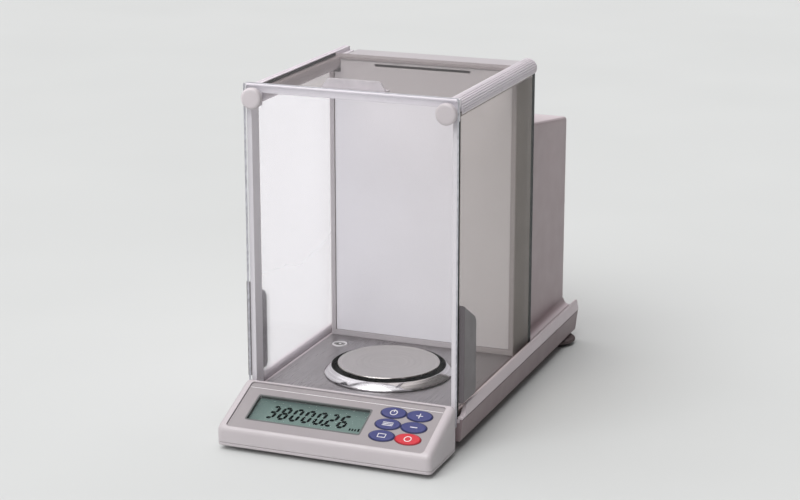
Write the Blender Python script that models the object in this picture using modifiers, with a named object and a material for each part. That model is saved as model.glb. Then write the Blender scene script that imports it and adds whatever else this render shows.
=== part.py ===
"""Analytical balance with a glass draft shield, built as an assembly of separate pieces.

Frame: X to the user's right, Y from the control head to the rear, Z up, origin under the
middle of the balance on the table. Lengths are in metres.
"""

import math

import bmesh
import bpy
from mathutils import Matrix, Vector

MM = 0.001
OBJECT_NAME = "analytical_balance"

# Overall plan
DEPTH = 395 * MM
FRONT = -DEPTH / 2
REAR = DEPTH / 2
GAP = 0.3 * MM

# Base: a tray below, a rimmed deck above, split at the crease of the side wall
BASE_FRONT = FRONT + 66.3 * MM
CASE_BOTTOM = 9 * MM
CREASE_Z = 29 * MM
RIM_Z = 39.4 * MM
DECK_Z = 33.2 * MM
FLOOR_Z = 33.6 * MM
RIM_HALF = 98.6 * MM
RIM_TOP_HALF = 96.8 * MM
CASE_BOTTOM_HALF = 96.0 * MM
CASE_WALL = 2 * MM

# Draft shield
GLASS = 2.5 * MM
SIDE_GLASS_INNER = 91 * MM
SIDE_GLASS_TOP = 287.3 * MM
SIDE_GLASS_BOTTOM = 28.6 * MM
DOOR_FRONT = FRONT + 68.6 * MM
DOOR_LENGTH = 191.5 * MM
GROOVE_INNER = 90.6 * MM
GROOVE_OUTER = 94.0 * MM
GROOVE_FLOOR = 28.1 * MM
FRONT_GLASS_Y = FRONT + 61 * MM
FRONT_GLASS_THICK = 4 * MM
FRONT_GLASS_HALF = 93.8 * MM
FRONT_GLASS_BOTTOM = 22 * MM
HEADER_Z = 291.3 * MM
HEADER_TOP = 298.5 * MM
HEADER_HALF = 93.4 * MM
HEADER_Y = (FRONT_GLASS_Y + FRONT_GLASS_THICK + GAP, FRONT + 70.8 * MM)
FRONT_GLASS_TOP = HEADER_TOP + 1.1 * MM
POST_INNER = 88.5 * MM
POST_OUTER = 92.8 * MM
RAIL_X = 86.5 * MM
RAIL_Z = 289.6 * MM
RAIL_RADIUS = 8.5 * MM
RAIL_Y = (HEADER_Y[1] + GAP, FRONT + 259 * MM)
TOP_GLASS_HALF = 83 * MM
TOP_GLASS_Z = 294.4 * MM
TOP_GLASS_THICK = 2.4 * MM
TOP_DOOR_Y = (HEADER_Y[1] + GAP, FRONT + 228 * MM)
KNOB_X = 85.2 * MM
KNOB_Z = 287.4 * MM
KNOB_RADIUS = 9 * MM
KNOB_DEPTH = 5 * MM
KNOB_STUD_END = FRONT + 67.6 * MM
TAB_TOP = 306.5 * MM

# Column behind the weighing chamber, and the rear housing
COLUMN_HALF = 88.8 * MM
COLUMN_Y = (FRONT + 226 * MM, FRONT + 267 * MM)
COLUMN_TOP = 293.8 * MM
SHOULDER_Z = 280.2 * MM
SHOULDER_HALF = 77.7 * MM
HOUSING_HALF = 83 * MM
HOUSING_Y = (FRONT + 269.3 * MM, REAR)
HOUSING_FRONT_Z = 236.5 * MM
HOUSING_REAR_Z = 219 * MM

# Weighing place
PAN_Y = FRONT + 147.6 * MM
PAN_RADIUS = 45 * MM
PAN_Z = 42.7 * MM
LEVEL_PLACE = Vector((-69.6 * MM, FRONT + 201 * MM, 0))

# Control head: its panel slopes up towards the chamber
HEAD_HALF = 95.5 * MM
HEAD_REAR = FRONT + 60.8 * MM
HEAD_BOTTOM = 4 * MM
HEAD_SPLIT_Z = 7.2 * MM
HEAD_ROUNDING = 5 * MM
HEAD_WALL = 4.2 * MM
PANEL_SLOPE = math.radians(21.3)
PANEL_FOOT = Vector((0, FRONT + 2.7 * MM, 20.8 * MM))
PANEL_HALF = 88 * MM
PANEL_LENGTH = 57.6 * MM
WINDOW_X = (-74.6 * MM, 26.8 * MM)
WINDOW_UP = (12.3 * MM, 42.6 * MM)
KEY_COLUMNS = (46.7 * MM, 69.5 * MM)
KEY_ROWS = (43 * MM, 28.6 * MM, 14.1 * MM)
KEY_SIZE = (21.6 * MM, 12.6 * MM)
KEY_PROUD = 1.1 * MM
KEY_NAMES = (
    ("key_on_off", "key_calibrate"),
    ("key_mode", "key_menu"),
    ("key_print", "key_rezero"),
)

# Feet
FRONT_FOOT_PLACE = (78 * MM, FRONT + 92 * MM)
REAR_FOOT_PLACE = (84 * MM, REAR - 20 * MM)
FOOT_DISC_RADIUS = 17 * MM

# Weighing cell: a parallel-guided load receiver, a lever and a force coil
CELL_FRONT = FRONT + 244 * MM
CELL_POST_Y = FRONT + 290 * MM
GUIDE_Z = (46 * MM, 118 * MM)
LEVER_Z = 80 * MM
LEVER_PIVOT_Y = FRONT + 262 * MM
COIL_Y = FRONT + 338 * MM

PALETTE = {
    "cream_plastic": ((0.80, 0.78, 0.79), 0.45, 0.0, 1.0),
    "light_grey_paint": ((0.62, 0.61, 0.60), 0.5, 0.0, 1.0),
    "grey_plastic": ((0.28, 0.27, 0.28), 0.5, 0.0, 1.0),
    "panel_grey": ((0.42, 0.38, 0.385), 0.5, 0.0, 1.0),
    "glass": ((0.85, 0.92, 0.90), 0.03, 0.0, 0.25),
    "brushed_steel": ((0.42, 0.41, 0.42), 0.35, 1.0, 1.0),
    "polished_steel": ((0.75, 0.75, 0.76), 0.12, 1.0, 1.0),
    "aluminium": ((0.70, 0.70, 0.72), 0.35, 1.0, 1.0),
    "copper": ((0.72, 0.36, 0.20), 0.35, 1.0, 1.0),
    "iron": ((0.25, 0.25, 0.27), 0.45, 1.0, 1.0),
    "rubber": ((0.04, 0.038, 0.038), 0.8, 0.0, 1.0),
    "circuit_green": ((0.03, 0.16, 0.07), 0.5, 0.0, 1.0),
    "lcd_green": ((0.20, 0.29, 0.26), 0.3, 0.0, 1.0),
    "key_blue": ((0.06, 0.08, 0.30), 0.4, 0.0, 1.0),
    "key_red": ((0.65, 0.02, 0.05), 0.4, 0.0, 1.0),
    "black_plastic": ((0.03, 0.03, 0.03), 0.5, 0.0, 1.0),
}


# ---------------------------------------------------------------- scene and materials


def clear_scene():
    for obj in list(bpy.data.objects):
        bpy.data.objects.remove(obj, do_unlink=True)


def new_collection(name):
    collection = bpy.data.collections.new(name)
    bpy.context.scene.collection.children.link(collection)
    return collection


clear_scene()
PARTS = new_collection(OBJECT_NAME)
CUTTERS = new_collection(OBJECT_NAME + "_cutters")


def material(part_name, finish):
    """A Principled material of the part's own, with the colour and gloss of its finish."""
    colour, roughness, metallic, alpha = PALETTE[finish]
    made = bpy.data.materials.new(part_name + "_" + finish)
    made.use_nodes = True
    shader = made.node_tree.nodes["Principled BSDF"]
    shader.inputs["Base Color"].default_value = (*colour, 1)
    shader.inputs["Roughness"].default_value = roughness
    shader.inputs["Metallic"].default_value = metallic
    shader.inputs["Alpha"].default_value = alpha
    made.diffuse_color = (*colour, alpha)
    return made


def add_object(name, mesh, place=(0, 0, 0)):
    """Puts a mesh in the scene as a helper; finish() turns it into a part."""
    obj = bpy.data.objects.new(name, mesh)
    obj.location = place
    CUTTERS.objects.link(obj)
    obj.hide_render = True
    obj.display_type = "WIRE"
    return obj


def finish(obj, finish_name):
    """Makes a helper object a part: moves it to the parts and gives it its material."""
    CUTTERS.objects.unlink(obj)
    PARTS.objects.link(obj)
    obj.hide_render = False
    obj.display_type = "TEXTURED"
    obj.data.materials.append(material(obj.name, finish_name))
    obj.data.shade_smooth()
    obj.data.set_sharp_from_angle(angle=math.radians(32))
    return obj


# ---------------------------------------------------------------- shapes


def mesh_from(name, build):
    mesh = bpy.data.meshes.new(name)
    shape = bmesh.new()
    build(shape)
    shape.to_mesh(mesh)
    shape.free()
    return mesh


def box(name, low, high):
    """A box between two corners, with its origin at its middle."""
    low = Vector(low)
    high = Vector(high)
    size = high - low

    def build(shape):
        bmesh.ops.create_cube(shape, size=1)
        bmesh.ops.scale(shape, vec=size, verts=shape.verts)

    return add_object(name, mesh_from(name, build), (low + high) / 2)


def cylinder(name, radius, low, high, axis="Z", segments=32, end_radius=None):
    """A cylinder or cone along an axis from low to high, both points on the axis."""
    low = Vector(low)
    high = Vector(high)
    turn = {"Z": Matrix.Identity(4), "Y": Matrix.Rotation(-math.pi / 2, 4, "X")}[axis]

    def build(shape):
        bmesh.ops.create_cone(
            shape,
            cap_ends=True,
            segments=segments,
            radius1=radius,
            radius2=radius if end_radius is None else end_radius,
            depth=(high - low).length,
            matrix=turn,
        )

    return add_object(name, mesh_from(name, build), (low + high) / 2)


def outline_mesh(name, points, thickness):
    """A flat outline in the XY plane, given a thickness along Z, as a welded mesh."""
    curve = bpy.data.curves.new(name, "CURVE")
    curve.dimensions = "2D"
    curve.fill_mode = "BOTH"
    curve.extrude = thickness / 2
    spline = curve.splines.new("POLY")
    spline.points.add(len(points) - 1)
    for spot, (x, y) in zip(spline.points, points):
        spot.co = (x, y, 0, 1)
    spline.use_cyclic_u = True
    guide = bpy.data.objects.new(name + "_outline", curve)
    CUTTERS.objects.link(guide)
    graph = bpy.context.evaluated_depsgraph_get()
    mesh = bpy.data.meshes.new_from_object(guide.evaluated_get(graph))
    bpy.data.objects.remove(guide)
    bpy.data.curves.remove(curve)
    shape = bmesh.new()
    shape.from_mesh(mesh)
    bmesh.ops.remove_doubles(shape, verts=shape.verts, dist=1e-6)
    bmesh.ops.recalc_face_normals(shape, faces=shape.faces)
    shape.to_mesh(mesh)
    shape.free()
    mesh.name = name
    return mesh


def plate(name, points, low, high, facing):
    """An outline extruded from low to high along one axis.

    facing "X": the points are (y, z). "Y": they are (x, z). "Z": they are (x, y).
    """
    turns = {
        "Z": Matrix.Identity(4),
        "X": Matrix(((0, 0, 1, 0), (1, 0, 0, 0), (0, 1, 0, 0), (0, 0, 0, 1))),
        "Y": Matrix(((1, 0, 0, 0), (0, 0, -1, 0), (0, 1, 0, 0), (0, 0, 0, 1))),
    }
    mesh = outline_mesh(name, points, high - low)
    mesh.transform(turns[facing])
    middle = (low + high) / 2
    place = {"X": (middle, 0, 0), "Y": (0, middle, 0), "Z": (0, 0, middle)}[facing]
    return add_object(name, mesh, place)


def turned(name, profile, place, steps=48):
    """A closed (radius, height) profile turned about Z through a place."""

    def build(shape):
        spots = [shape.verts.new((radius, 0, height)) for radius, height in profile]
        for first, second in zip(spots, spots[1:] + spots[:1]):
            if first.co.x > 0 or second.co.x > 0:
                shape.edges.new((first, second))

    obj = add_object(name, mesh_from(name, build), place)
    screw = obj.modifiers.new("turn", "SCREW")
    screw.steps = steps
    screw.render_steps = steps
    screw.use_merge_vertices = True
    screw.merge_threshold = 1e-6
    screw.use_normal_calculate = True
    return applied(obj)


def applied(obj):
    """The object with its modifiers made part of its mesh, with its normals facing out."""
    graph = bpy.context.evaluated_depsgraph_get()
    mesh = bpy.data.meshes.new_from_object(obj.evaluated_get(graph))
    shape = bmesh.new()
    shape.from_mesh(mesh)
    bmesh.ops.recalc_face_normals(shape, faces=shape.faces)
    shape.to_mesh(mesh)
    shape.free()
    obj.modifiers.clear()
    obj.data = mesh
    return obj


def arc(centre, radius, start, end, count):
    """Points along a circle, from one angle to another in degrees."""
    found = []
    for step in range(count + 1):
        angle = math.radians(start + (end - start) * step / count)
        found.append((centre[0] + radius * math.cos(angle), centre[1] + radius * math.sin(angle)))
    return found


def ellipse(centre, size, count=32):
    found = []
    for step in range(count):
        angle = 2 * math.pi * step / count
        found.append(
            (centre[0] + size[0] / 2 * math.cos(angle), centre[1] + size[1] / 2 * math.sin(angle))
        )
    return found


def rounded_rectangle(low, high, radius, count=4):
    x1, y1 = low
    x2, y2 = high
    return (
        arc((x2 - radius, y1 + radius), radius, -90, 0, count)
        + arc((x2 - radius, y2 - radius), radius, 0, 90, count)
        + arc((x1 + radius, y2 - radius), radius, 90, 180, count)
        + arc((x1 + radius, y1 + radius), radius, 180, 270, count)
    )


def bevel(obj, width, segments=2, only=None):
    """Rounds the edges whose middle passes the test, or all of them."""
    shape = bmesh.new()
    shape.from_mesh(obj.data)
    place = obj.matrix_basis
    picked = []
    for edge in shape.edges:
        if len(edge.link_faces) != 2 or edge.calc_face_angle() < math.radians(30):
            continue
        ends = [place @ vert.co for vert in edge.verts]
        if only is None or only(ends[0], ends[1]):
            picked.append(edge)
    bmesh.ops.bevel(
        shape,
        geom=picked,
        offset=width,
        segments=segments,
        profile=0.5,
        affect="EDGES",
        clamp_overlap=True,
    )
    shape.to_mesh(obj.data)
    shape.free()
    return obj


def boolean(obj, other, operation):
    modifier = obj.modifiers.new(other.name, "BOOLEAN")
    modifier.operation = operation
    modifier.object = other
    modifier.solver = "EXACT"
    return obj


def cut(obj, *others):
    for other in others:
        boolean(obj, other, "DIFFERENCE")
    return obj


def join(obj, *others):
    for other in others:
        boolean(obj, other, "UNION")
    return obj


def both_sides(build):
    """Calls build(side, sign) for the left and the right of the balance."""
    for side, sign in (("left", -1), ("right", 1)):
        build(side, sign)


def x_span(sign, near, far):
    """An X range on one side, in rising order."""
    return sorted((sign * near, sign * far))


def side_box(name, sign, near, far, low, high):
    """A box on one side; low and high are (y, z)."""
    x1, x2 = x_span(sign, near, far)
    return box(name, (x1, *low), (x2, *high))


# ---------------------------------------------------------------- base


def base_side_line(z):
    """Half width of the lower case's outer wall at a height."""
    share = (CREASE_Z - z) / (CREASE_Z - CASE_BOTTOM)
    return RIM_HALF - 0.2 * MM - share * (RIM_HALF - 0.2 * MM - CASE_BOTTOM_HALF)


def lower_case():
    top = CREASE_Z - 0.2 * MM

    def section(wall, low, high):
        return [
            (base_side_line(low) - wall, low),
            (base_side_line(high) - wall, high),
            (wall - base_side_line(high), high),
            (wall - base_side_line(low), low),
        ]

    case = plate("lower_case", section(0, CASE_BOTTOM, top), BASE_FRONT, REAR, "Y")

    def long_or_upright(a, b):
        at_bottom = max(a.z, b.z) < CASE_BOTTOM + MM
        upright = abs(a.z - b.z) > 10 * MM and min(a.y, b.y) > 0
        return at_bottom or upright

    bevel(case, 1.6 * MM, 2, long_or_upright)
    hollow = plate(
        "case_hollow",
        section(CASE_WALL, CASE_BOTTOM + 2.5 * MM, top + 5 * MM),
        BASE_FRONT + CASE_WALL,
        REAR - CASE_WALL,
        "Y",
    )
    cut(case, hollow)
    for sign in (-1, 1):
        x, y = REAR_FOOT_PLACE
        boss = cylinder("foot_boss", 6.5 * MM, (sign * x, y, CASE_BOTTOM + MM), (sign * x, y, 20 * MM))
        bore = cylinder("foot_bore", 3.3 * MM, (sign * x, y, 0), (sign * x, y, 30 * MM))
        join(case, boss)
        cut(case, bore)
    slot = box(
        "bracket_slot",
        (-37 * MM, BASE_FRONT - MM, 12.6 * MM),
        (37 * MM, BASE_FRONT + 4 * MM, 15.2 * MM),
    )
    cut(case, slot)
    for sign in (-1, 1):
        ends = (BASE_FRONT - MM, GROOVE_FLOOR - 2.3 * MM), (REAR + MM, CREASE_Z + 5 * MM)
        cut(case, side_box("trough_notch", sign, GROOVE_INNER - 2.3 * MM, GROOVE_OUTER + 1.9 * MM, *ends))
    finish(case, "cream_plastic")


def cover_section():
    """The deck's section from the middle out to the right-hand rim, then back underneath."""
    lip = 0.9 * MM
    return [
        (GROOVE_INNER, DECK_Z),
        (GROOVE_INNER, GROOVE_FLOOR),
        (GROOVE_OUTER, GROOVE_FLOOR),
        (GROOVE_OUTER, RIM_Z - lip),
        (GROOVE_OUTER + lip, RIM_Z),
        (RIM_TOP_HALF - lip, RIM_Z),
        (RIM_TOP_HALF, RIM_Z - lip),
        (RIM_HALF, CREASE_Z + 1.2 * MM),
        (RIM_HALF - 0.4 * MM, CREASE_Z + 0.2 * MM),
        (GROOVE_OUTER + 1.6 * MM, CREASE_Z + 0.2 * MM),
        (GROOVE_OUTER + 1.6 * MM, GROOVE_FLOOR - 2 * MM),
        (GROOVE_INNER - 2 * MM, GROOVE_FLOOR - 2 * MM),
        (GROOVE_INNER - 2 * MM, DECK_Z - 3 * MM),
    ]


def rim_drop(sign):
    """The curved step where the rim falls away behind the front glass."""
    start = BASE_FRONT - 2 * MM
    low = CREASE_Z + 2.2 * MM
    high = RIM_Z + 3 * MM
    rise = BASE_FRONT + 17 * MM
    steps = 8
    points = [(start, high), (start, low)]
    for step in range(steps + 1):
        share = step / steps
        y = rise - 13 * MM * (1 - share)
        z = low + (RIM_Z + 0.4 * MM - low) * (share - math.sin(2 * math.pi * share) / (2 * math.pi))
        points.append((y, z))
    points.append((rise + 2 * MM, high))
    x1, x2 = x_span(sign, GROOVE_OUTER - 0.2 * MM, RIM_HALF + 2 * MM)
    return plate("rim_drop", points, x1, x2, "X")


def upper_cover():
    right = cover_section()
    left = [(-x, z) for x, z in reversed(right)]
    cover = plate("upper_cover", right + left, BASE_FRONT, REAR, "Y")
    recess = box(
        "floor_recess",
        (-88.3 * MM, BASE_FRONT - MM, DECK_Z - 0.9 * MM),
        (88.3 * MM, COLUMN_Y[0] - 0.5 * MM, DECK_Z + 5 * MM),
    )
    shaft_hole = cylinder("shaft_hole", 9 * MM, (0, PAN_Y, 20 * MM), (0, PAN_Y, 40 * MM))
    cell_opening = box(
        "cell_opening",
        (-62 * MM, COLUMN_Y[0] + 6 * MM, 20 * MM),
        (70 * MM, REAR - 12 * MM, 40 * MM),
    )
    level_hole = cylinder(
        "level_hole", 8 * MM, LEVEL_PLACE + Vector((0, 0, 20 * MM)), LEVEL_PLACE + Vector((0, 0, 40 * MM))
    )
    cut(cover, recess, shaft_hole, cell_opening, level_hole, rim_drop(-1), rim_drop(1))
    finish(cover, "cream_plastic")


def floor_plate():
    floor = box(
        "floor_plate",
        (-88 * MM, BASE_FRONT + 2.3 * MM, DECK_Z - 0.6 * MM),
        (88 * MM, COLUMN_Y[0] - 0.8 * MM, FLOOR_Z),
    )
    hole = cylinder("floor_hole", 8 * MM, (0, PAN_Y, 20 * MM), (0, PAN_Y, 40 * MM))
    level_hole = cylinder(
        "floor_level_hole",
        7.4 * MM,
        LEVEL_PLACE + Vector((0, 0, 20 * MM)),
        LEVEL_PLACE + Vector((0, 0, 40 * MM)),
    )
    cut(floor, hole, level_hole)
    for sign in (-1, 1):
        cut(floor, post_notch(sign))
    finish(floor, "brushed_steel")


def post_notch(sign):
    """Where a front post passes the corner of the floor plate."""
    return side_box(
        "post_notch",
        sign,
        POST_INNER - 1.4 * MM,
        POST_OUTER,
        (BASE_FRONT - MM, 20 * MM),
        (BASE_FRONT + 16 * MM, 40 * MM),
    )


def bubble_level():
    ring = turned(
        "level_housing",
        [
            (5.9 * MM, 34.2 * MM),
            (7.0 * MM, 34.2 * MM),
            (7.0 * MM, 25 * MM),
            (0, 25 * MM),
            (0, 27 * MM),
            (5.9 * MM, 27 * MM),
        ],
        LEVEL_PLACE,
        32,
    )
    finish(ring, "aluminium")
    vial = turned(
        "level_vial",
        [
            (0, 34.4 * MM),
            (3 * MM, 34.2 * MM),
            (5.5 * MM, 33.6 * MM),
            (5.5 * MM, 27.4 * MM),
            (0, 27.4 * MM),
        ],
        LEVEL_PLACE,
        32,
    )
    finish(vial, "glass")


def feet():
    def build(side, sign):
        x, y = FRONT_FOOT_PLACE
        x *= sign
        foot = turned(
            "front_foot_" + side,
            [(0, 8.7 * MM), (8 * MM, 8.7 * MM), (8.5 * MM, 2 * MM), (7 * MM, 0), (0, 0)],
            (x, y, 0),
            32,
        )
        finish(foot, "rubber")
        x, y = REAR_FOOT_PLACE
        x *= sign
        rim = FOOT_DISC_RADIUS
        screw = turned(
            "levelling_screw_" + side,
            [
                (0, 24 * MM),
                (3 * MM, 24 * MM),
                (3 * MM, 7.8 * MM),
                (rim - 3 * MM, 7.8 * MM),
                (rim - MM, 7.2 * MM),
                (rim, 6 * MM),
                (rim, 4 * MM),
                (rim - MM, 2.8 * MM),
                (0, 2.8 * MM),
            ],
            (x, y, 0),
            40,
        )
        finish(screw, "black_plastic")
        pad = turned(
            "levelling_pad_" + side,
            [(0, 2.5 * MM), (12 * MM, 2.5 * MM), (12.6 * MM, 0.6 * MM), (12 * MM, 0), (0, 0)],
            (x, y, 0),
            32,
        )
        finish(pad, "rubber")

    both_sides(build)


# ---------------------------------------------------------------- column and rear housing


def shoulder_notch(sign):
    """Room for a rail on the column's upper corner."""
    return side_box(
        "shoulder_notch",
        sign,
        SHOULDER_HALF,
        COLUMN_HALF + 5 * MM,
        (COLUMN_Y[0] - 5 * MM, SHOULDER_Z),
        (COLUMN_Y[1] + 5 * MM, COLUMN_TOP + 5 * MM),
    )


def column_shell():
    bottom = DECK_Z + GAP
    y1, y2 = COLUMN_Y
    column = box("column_shell", (-COLUMN_HALF, y1, bottom), (COLUMN_HALF, y2, COLUMN_TOP))

    def front_uprights(a, b):
        return abs(a.z - b.z) > 0.1 and max(a.y, b.y) < y1 + MM

    bevel(column, 1.5 * MM, 3, front_uprights)
    low_hollow = box(
        "column_low_hollow",
        (2 * MM - COLUMN_HALF, y1 + 2 * MM, bottom - 5 * MM),
        (COLUMN_HALF - 2 * MM, y2 + 5 * MM, 232 * MM),
    )
    high_hollow = box(
        "column_high_hollow",
        (4 * MM - SHOULDER_HALF, y1 + 2 * MM, 220 * MM),
        (SHOULDER_HALF - 4 * MM, y2 - 2 * MM, COLUMN_TOP - 2 * MM),
    )
    side_hollow = box(
        "column_side_hollow",
        (2 * MM - COLUMN_HALF, y1 + 2 * MM, 220 * MM),
        (COLUMN_HALF - 2 * MM, y2 - 2 * MM, SHOULDER_Z - 2 * MM),
    )
    panel_opening = box(
        "panel_opening",
        (-83.9 * MM, y1 - 5 * MM, 38.6 * MM),
        (83.9 * MM, y1 + 3 * MM, COLUMN_TOP - 2 * MM),
    )
    cut(column, low_hollow, high_hollow, side_hollow, panel_opening, shoulder_notch(-1), shoulder_notch(1))
    finish(column, "light_grey_paint")


def chamber_back_panel():
    y1 = COLUMN_Y[0] + 0.8 * MM
    panel = box(
        "chamber_back_panel",
        (-83.6 * MM, y1, 38.9 * MM),
        (83.6 * MM, y1 + 1.8 * MM, COLUMN_TOP - 2.3 * MM),
    )
    slot = box(
        "vent_slot",
        (-45 * MM, y1 - 5 * MM, COLUMN_TOP - 6.6 * MM),
        (45 * MM, y1 + 5 * MM, COLUMN_TOP - 4.2 * MM),
    )
    cut(panel, slot, shoulder_notch(-1), shoulder_notch(1))
    finish(panel, "light_grey_paint")


def housing_section(inset):
    """The rear housing's upright section, with a flared foot where it meets the deck."""
    foot = DECK_Z + GAP
    flare = 7 * MM
    top = HOUSING_FRONT_Z + 20 * MM
    wall = HOUSING_HALF - inset
    right = [(wall, top)]
    if inset:
        right.append((wall, foot - 5 * MM))
    else:
        right += arc((wall + flare, foot + flare), flare, 180, 255, 6)
        right.append((wall + flare * 0.9, foot))
    left = [(-x, z) for x, z in reversed(right)]
    return right + left


def housing_slope_cutter(drop):
    """Everything above the housing's sloping top, lowered by drop."""
    y1, y2 = HOUSING_Y
    run = y2 - y1
    fall = HOUSING_FRONT_Z - HOUSING_REAR_Z
    past = 10 * MM
    high = HOUSING_FRONT_Z + 60 * MM
    points = [
        (y1 - past, HOUSING_FRONT_Z + fall * past / run - drop),
        (y2 + past, HOUSING_REAR_Z - fall * past / run - drop),
        (y2 + past, high),
        (y1 - past, high),
    ]
    return plate("housing_slope", points, -120 * MM, 120 * MM, "X")


def rear_housing():
    wall = 2.5 * MM
    y1, y2 = HOUSING_Y
    outside = applied(cut(plate("rear_housing", housing_section(0), y1, y2, "Y"), housing_slope_cutter(0)))

    def upper_and_rear(a, b):
        at_top = min(a.z, b.z) > HOUSING_REAR_Z - 5 * MM
        at_rear = min(a.y, b.y) > y2 - MM and abs(a.z - b.z) > 50 * MM
        return (at_top and min(a.y, b.y) > y1 - MM and max(a.y, b.y) > y1 + MM) or at_rear

    bevel(outside, 3 * MM, 3, upper_and_rear)
    inside = applied(
        cut(
            plate("housing_hollow", housing_section(wall), y1 - 5 * MM, y2 - wall, "Y"),
            housing_slope_cutter(wall),
        )
    )
    opening = box("connector_opening", (-55 * MM, y2 - 8 * MM, 46 * MM), (55 * MM, y2 + 5 * MM, 86 * MM))
    cut(outside, inside, opening)
    finish(outside, "cream_plastic")


def rear_connectors():
    face = REAR - 1.2 * MM
    x = -38 * MM
    z = 60 * MM
    panel = box(
        "rear_connector_plate",
        (-54.6 * MM, face - 1.5 * MM, 46.4 * MM),
        (54.6 * MM, face, 85.6 * MM),
    )
    jack_hole = cylinder("jack_hole", 4.3 * MM, (x, face - 5 * MM, z), (x, face + 5 * MM, z), "Y")
    port_hole = box(
        "port_hole", (2.7 * MM, face - 5 * MM, 53.7 * MM), (45.3 * MM, face + 5 * MM, 66.3 * MM)
    )
    cut(panel, jack_hole, port_hole)
    finish(panel, "brushed_steel")

    jack = cylinder("power_jack", 4 * MM, (x, face - 12 * MM, z), (x, face + 0.9 * MM, z), "Y", 24)
    socket = cylinder("jack_socket", 2.8 * MM, (x, face - 9 * MM, z), (x, face + 5 * MM, z), "Y", 24)
    cut(jack, socket)
    pin = cylinder("jack_pin", 0.9 * MM, (x, face - 10 * MM, z), (x, face - MM, z), "Y", 12)
    join(jack, pin)
    finish(jack, "black_plastic")

    shell = [
        (4.5 * MM, 65 * MM),
        (3 * MM, 64 * MM),
        (5.5 * MM, 55 * MM),
        (42.5 * MM, 55 * MM),
        (45 * MM, 64 * MM),
        (43.5 * MM, 65 * MM),
    ]
    port = plate("serial_port", shell, face - 9 * MM, face + MM, "Y")
    rim = 1.2 * MM
    inner = [
        (4.5 * MM + rim, 65 * MM - rim),
        (5.5 * MM + rim, 55 * MM + rim),
        (42.5 * MM - rim, 55 * MM + rim),
        (43.5 * MM - rim, 65 * MM - rim),
    ]
    cut(port, plate("port_mouth", inner, face - 5 * MM, face + 5 * MM, "Y"))
    finish(port, "aluminium")


# ---------------------------------------------------------------- draft shield


def fluted_circle(radius, depth, flutes, skipped):
    """A circle with shallow grooves round it, apart from those in skipped."""
    found = []
    for flute in range(flutes):
        pitch = 360 / flutes
        for share, inset in ((0.0, 0), (0.35, 0), (0.55, depth), (0.8, depth)):
            angle = math.radians((flute + share) * pitch)
            reach = radius - (0 if flute in skipped else inset)
            found.append((reach * math.cos(angle), reach * math.sin(angle)))
    return found


def rail_clearances(sign, low, high):
    """The slot for a side door's top edge and the ledge for the top door, from low to high."""
    slot = side_box(
        "door_slot",
        sign,
        GROOVE_INNER,
        GROOVE_OUTER - 0.2 * MM,
        (low, RAIL_Z - 20 * MM),
        (high, SIDE_GLASS_TOP + 0.5 * MM),
    )
    ledge = side_box(
        "top_ledge",
        sign,
        60 * MM,
        TOP_GLASS_HALF + 0.4 * MM,
        (low, TOP_GLASS_Z - 0.4 * MM),
        (high, RAIL_Z + 20 * MM),
    )
    return slot, ledge


def rails():
    def build(side, sign):
        ribs = fluted_circle(RAIL_RADIUS, 0.45 * MM, 24, (7, 8, 9, 10, 11, 19, 20, 21, 22))
        section = [(sign * (RAIL_X + x), RAIL_Z + z) for x, z in ribs]
        low, high = RAIL_Y
        rail = plate("rail_" + side, section, low, high, "Y")
        cut(rail, *rail_clearances(sign, low - 5 * MM, high + 5 * MM))
        finish(rail, "cream_plastic")

        cap = cylinder(
            "rail_rear_cap_" + side,
            RAIL_RADIUS - 0.1 * MM,
            (RAIL_X * sign, high + GAP, RAIL_Z),
            (RAIL_X * sign, high + 3 * MM, RAIL_Z),
            "Y",
            40,
        )
        bevel(cap, 0.8 * MM, 2, lambda a, b: min(a.y, b.y) > high + 2 * MM)
        cut(cap, *rail_clearances(sign, high - 5 * MM, high + 10 * MM))
        finish(cap, "cream_plastic")

    both_sides(build)


def front_knobs():
    """Ringed knobs that clamp the front glass, each with a stud through it into the header."""
    rim = KNOB_RADIUS
    face = FRONT_GLASS_Y - GAP
    stud = face - KNOB_STUD_END

    def build(side, sign):
        profile = [
            (0, KNOB_DEPTH),
            (rim - 2.6 * MM, KNOB_DEPTH),
            (rim - 1.2 * MM, KNOB_DEPTH - 0.3 * MM),
            (rim - 0.3 * MM, KNOB_DEPTH - 0.8 * MM),
            (rim, KNOB_DEPTH - 1.4 * MM),
            (rim, KNOB_DEPTH - 2.4 * MM),
            (rim - 0.8 * MM, KNOB_DEPTH - 2.8 * MM),
            (rim - 0.8 * MM, KNOB_DEPTH - 3.4 * MM),
            (rim, KNOB_DEPTH - 3.8 * MM),
            (rim, 0.3 * MM),
            (rim - 0.3 * MM, 0),
            (2.2 * MM, 0),
            (2.2 * MM, stud),
            (0, stud),
        ]
        knob = turned("front_knob_" + side, profile, (KNOB_X * sign, face, KNOB_Z), 40)
        knob.rotation_euler = (math.pi / 2, 0, 0)
        finish(knob, "cream_plastic")

    both_sides(build)


def knob_hole(sign, low, high):
    """The clearance hole for a knob's stud."""
    x = KNOB_X * sign
    return cylinder("knob_hole", 2.6 * MM, (x, low, KNOB_Z), (x, high, KNOB_Z), "Y", 24)


def top_header():
    y1, y2 = HEADER_Y
    points = [
        (y1, HEADER_Z),
        (y2, HEADER_Z),
        (y2, HEADER_TOP),
        (y2 - 3 * MM, HEADER_TOP),
        (y1 + MM, HEADER_TOP - 1.2 * MM),
        (y1, HEADER_TOP - 2 * MM),
    ]
    header = plate("top_header", points, -HEADER_HALF, HEADER_HALF, "X")
    for sign in (-1, 1):
        block = side_box(
            "corner_block",
            sign,
            80 * MM,
            HEADER_HALF,
            (y1, SHOULDER_Z + GAP),
            (DOOR_FRONT - GAP, HEADER_Z + 2 * MM),
        )
        join(header, block)
        cut(header, knob_hole(sign, y1 - MM, KNOB_STUD_END + GAP))
    finish(header, "cream_plastic")


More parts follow.
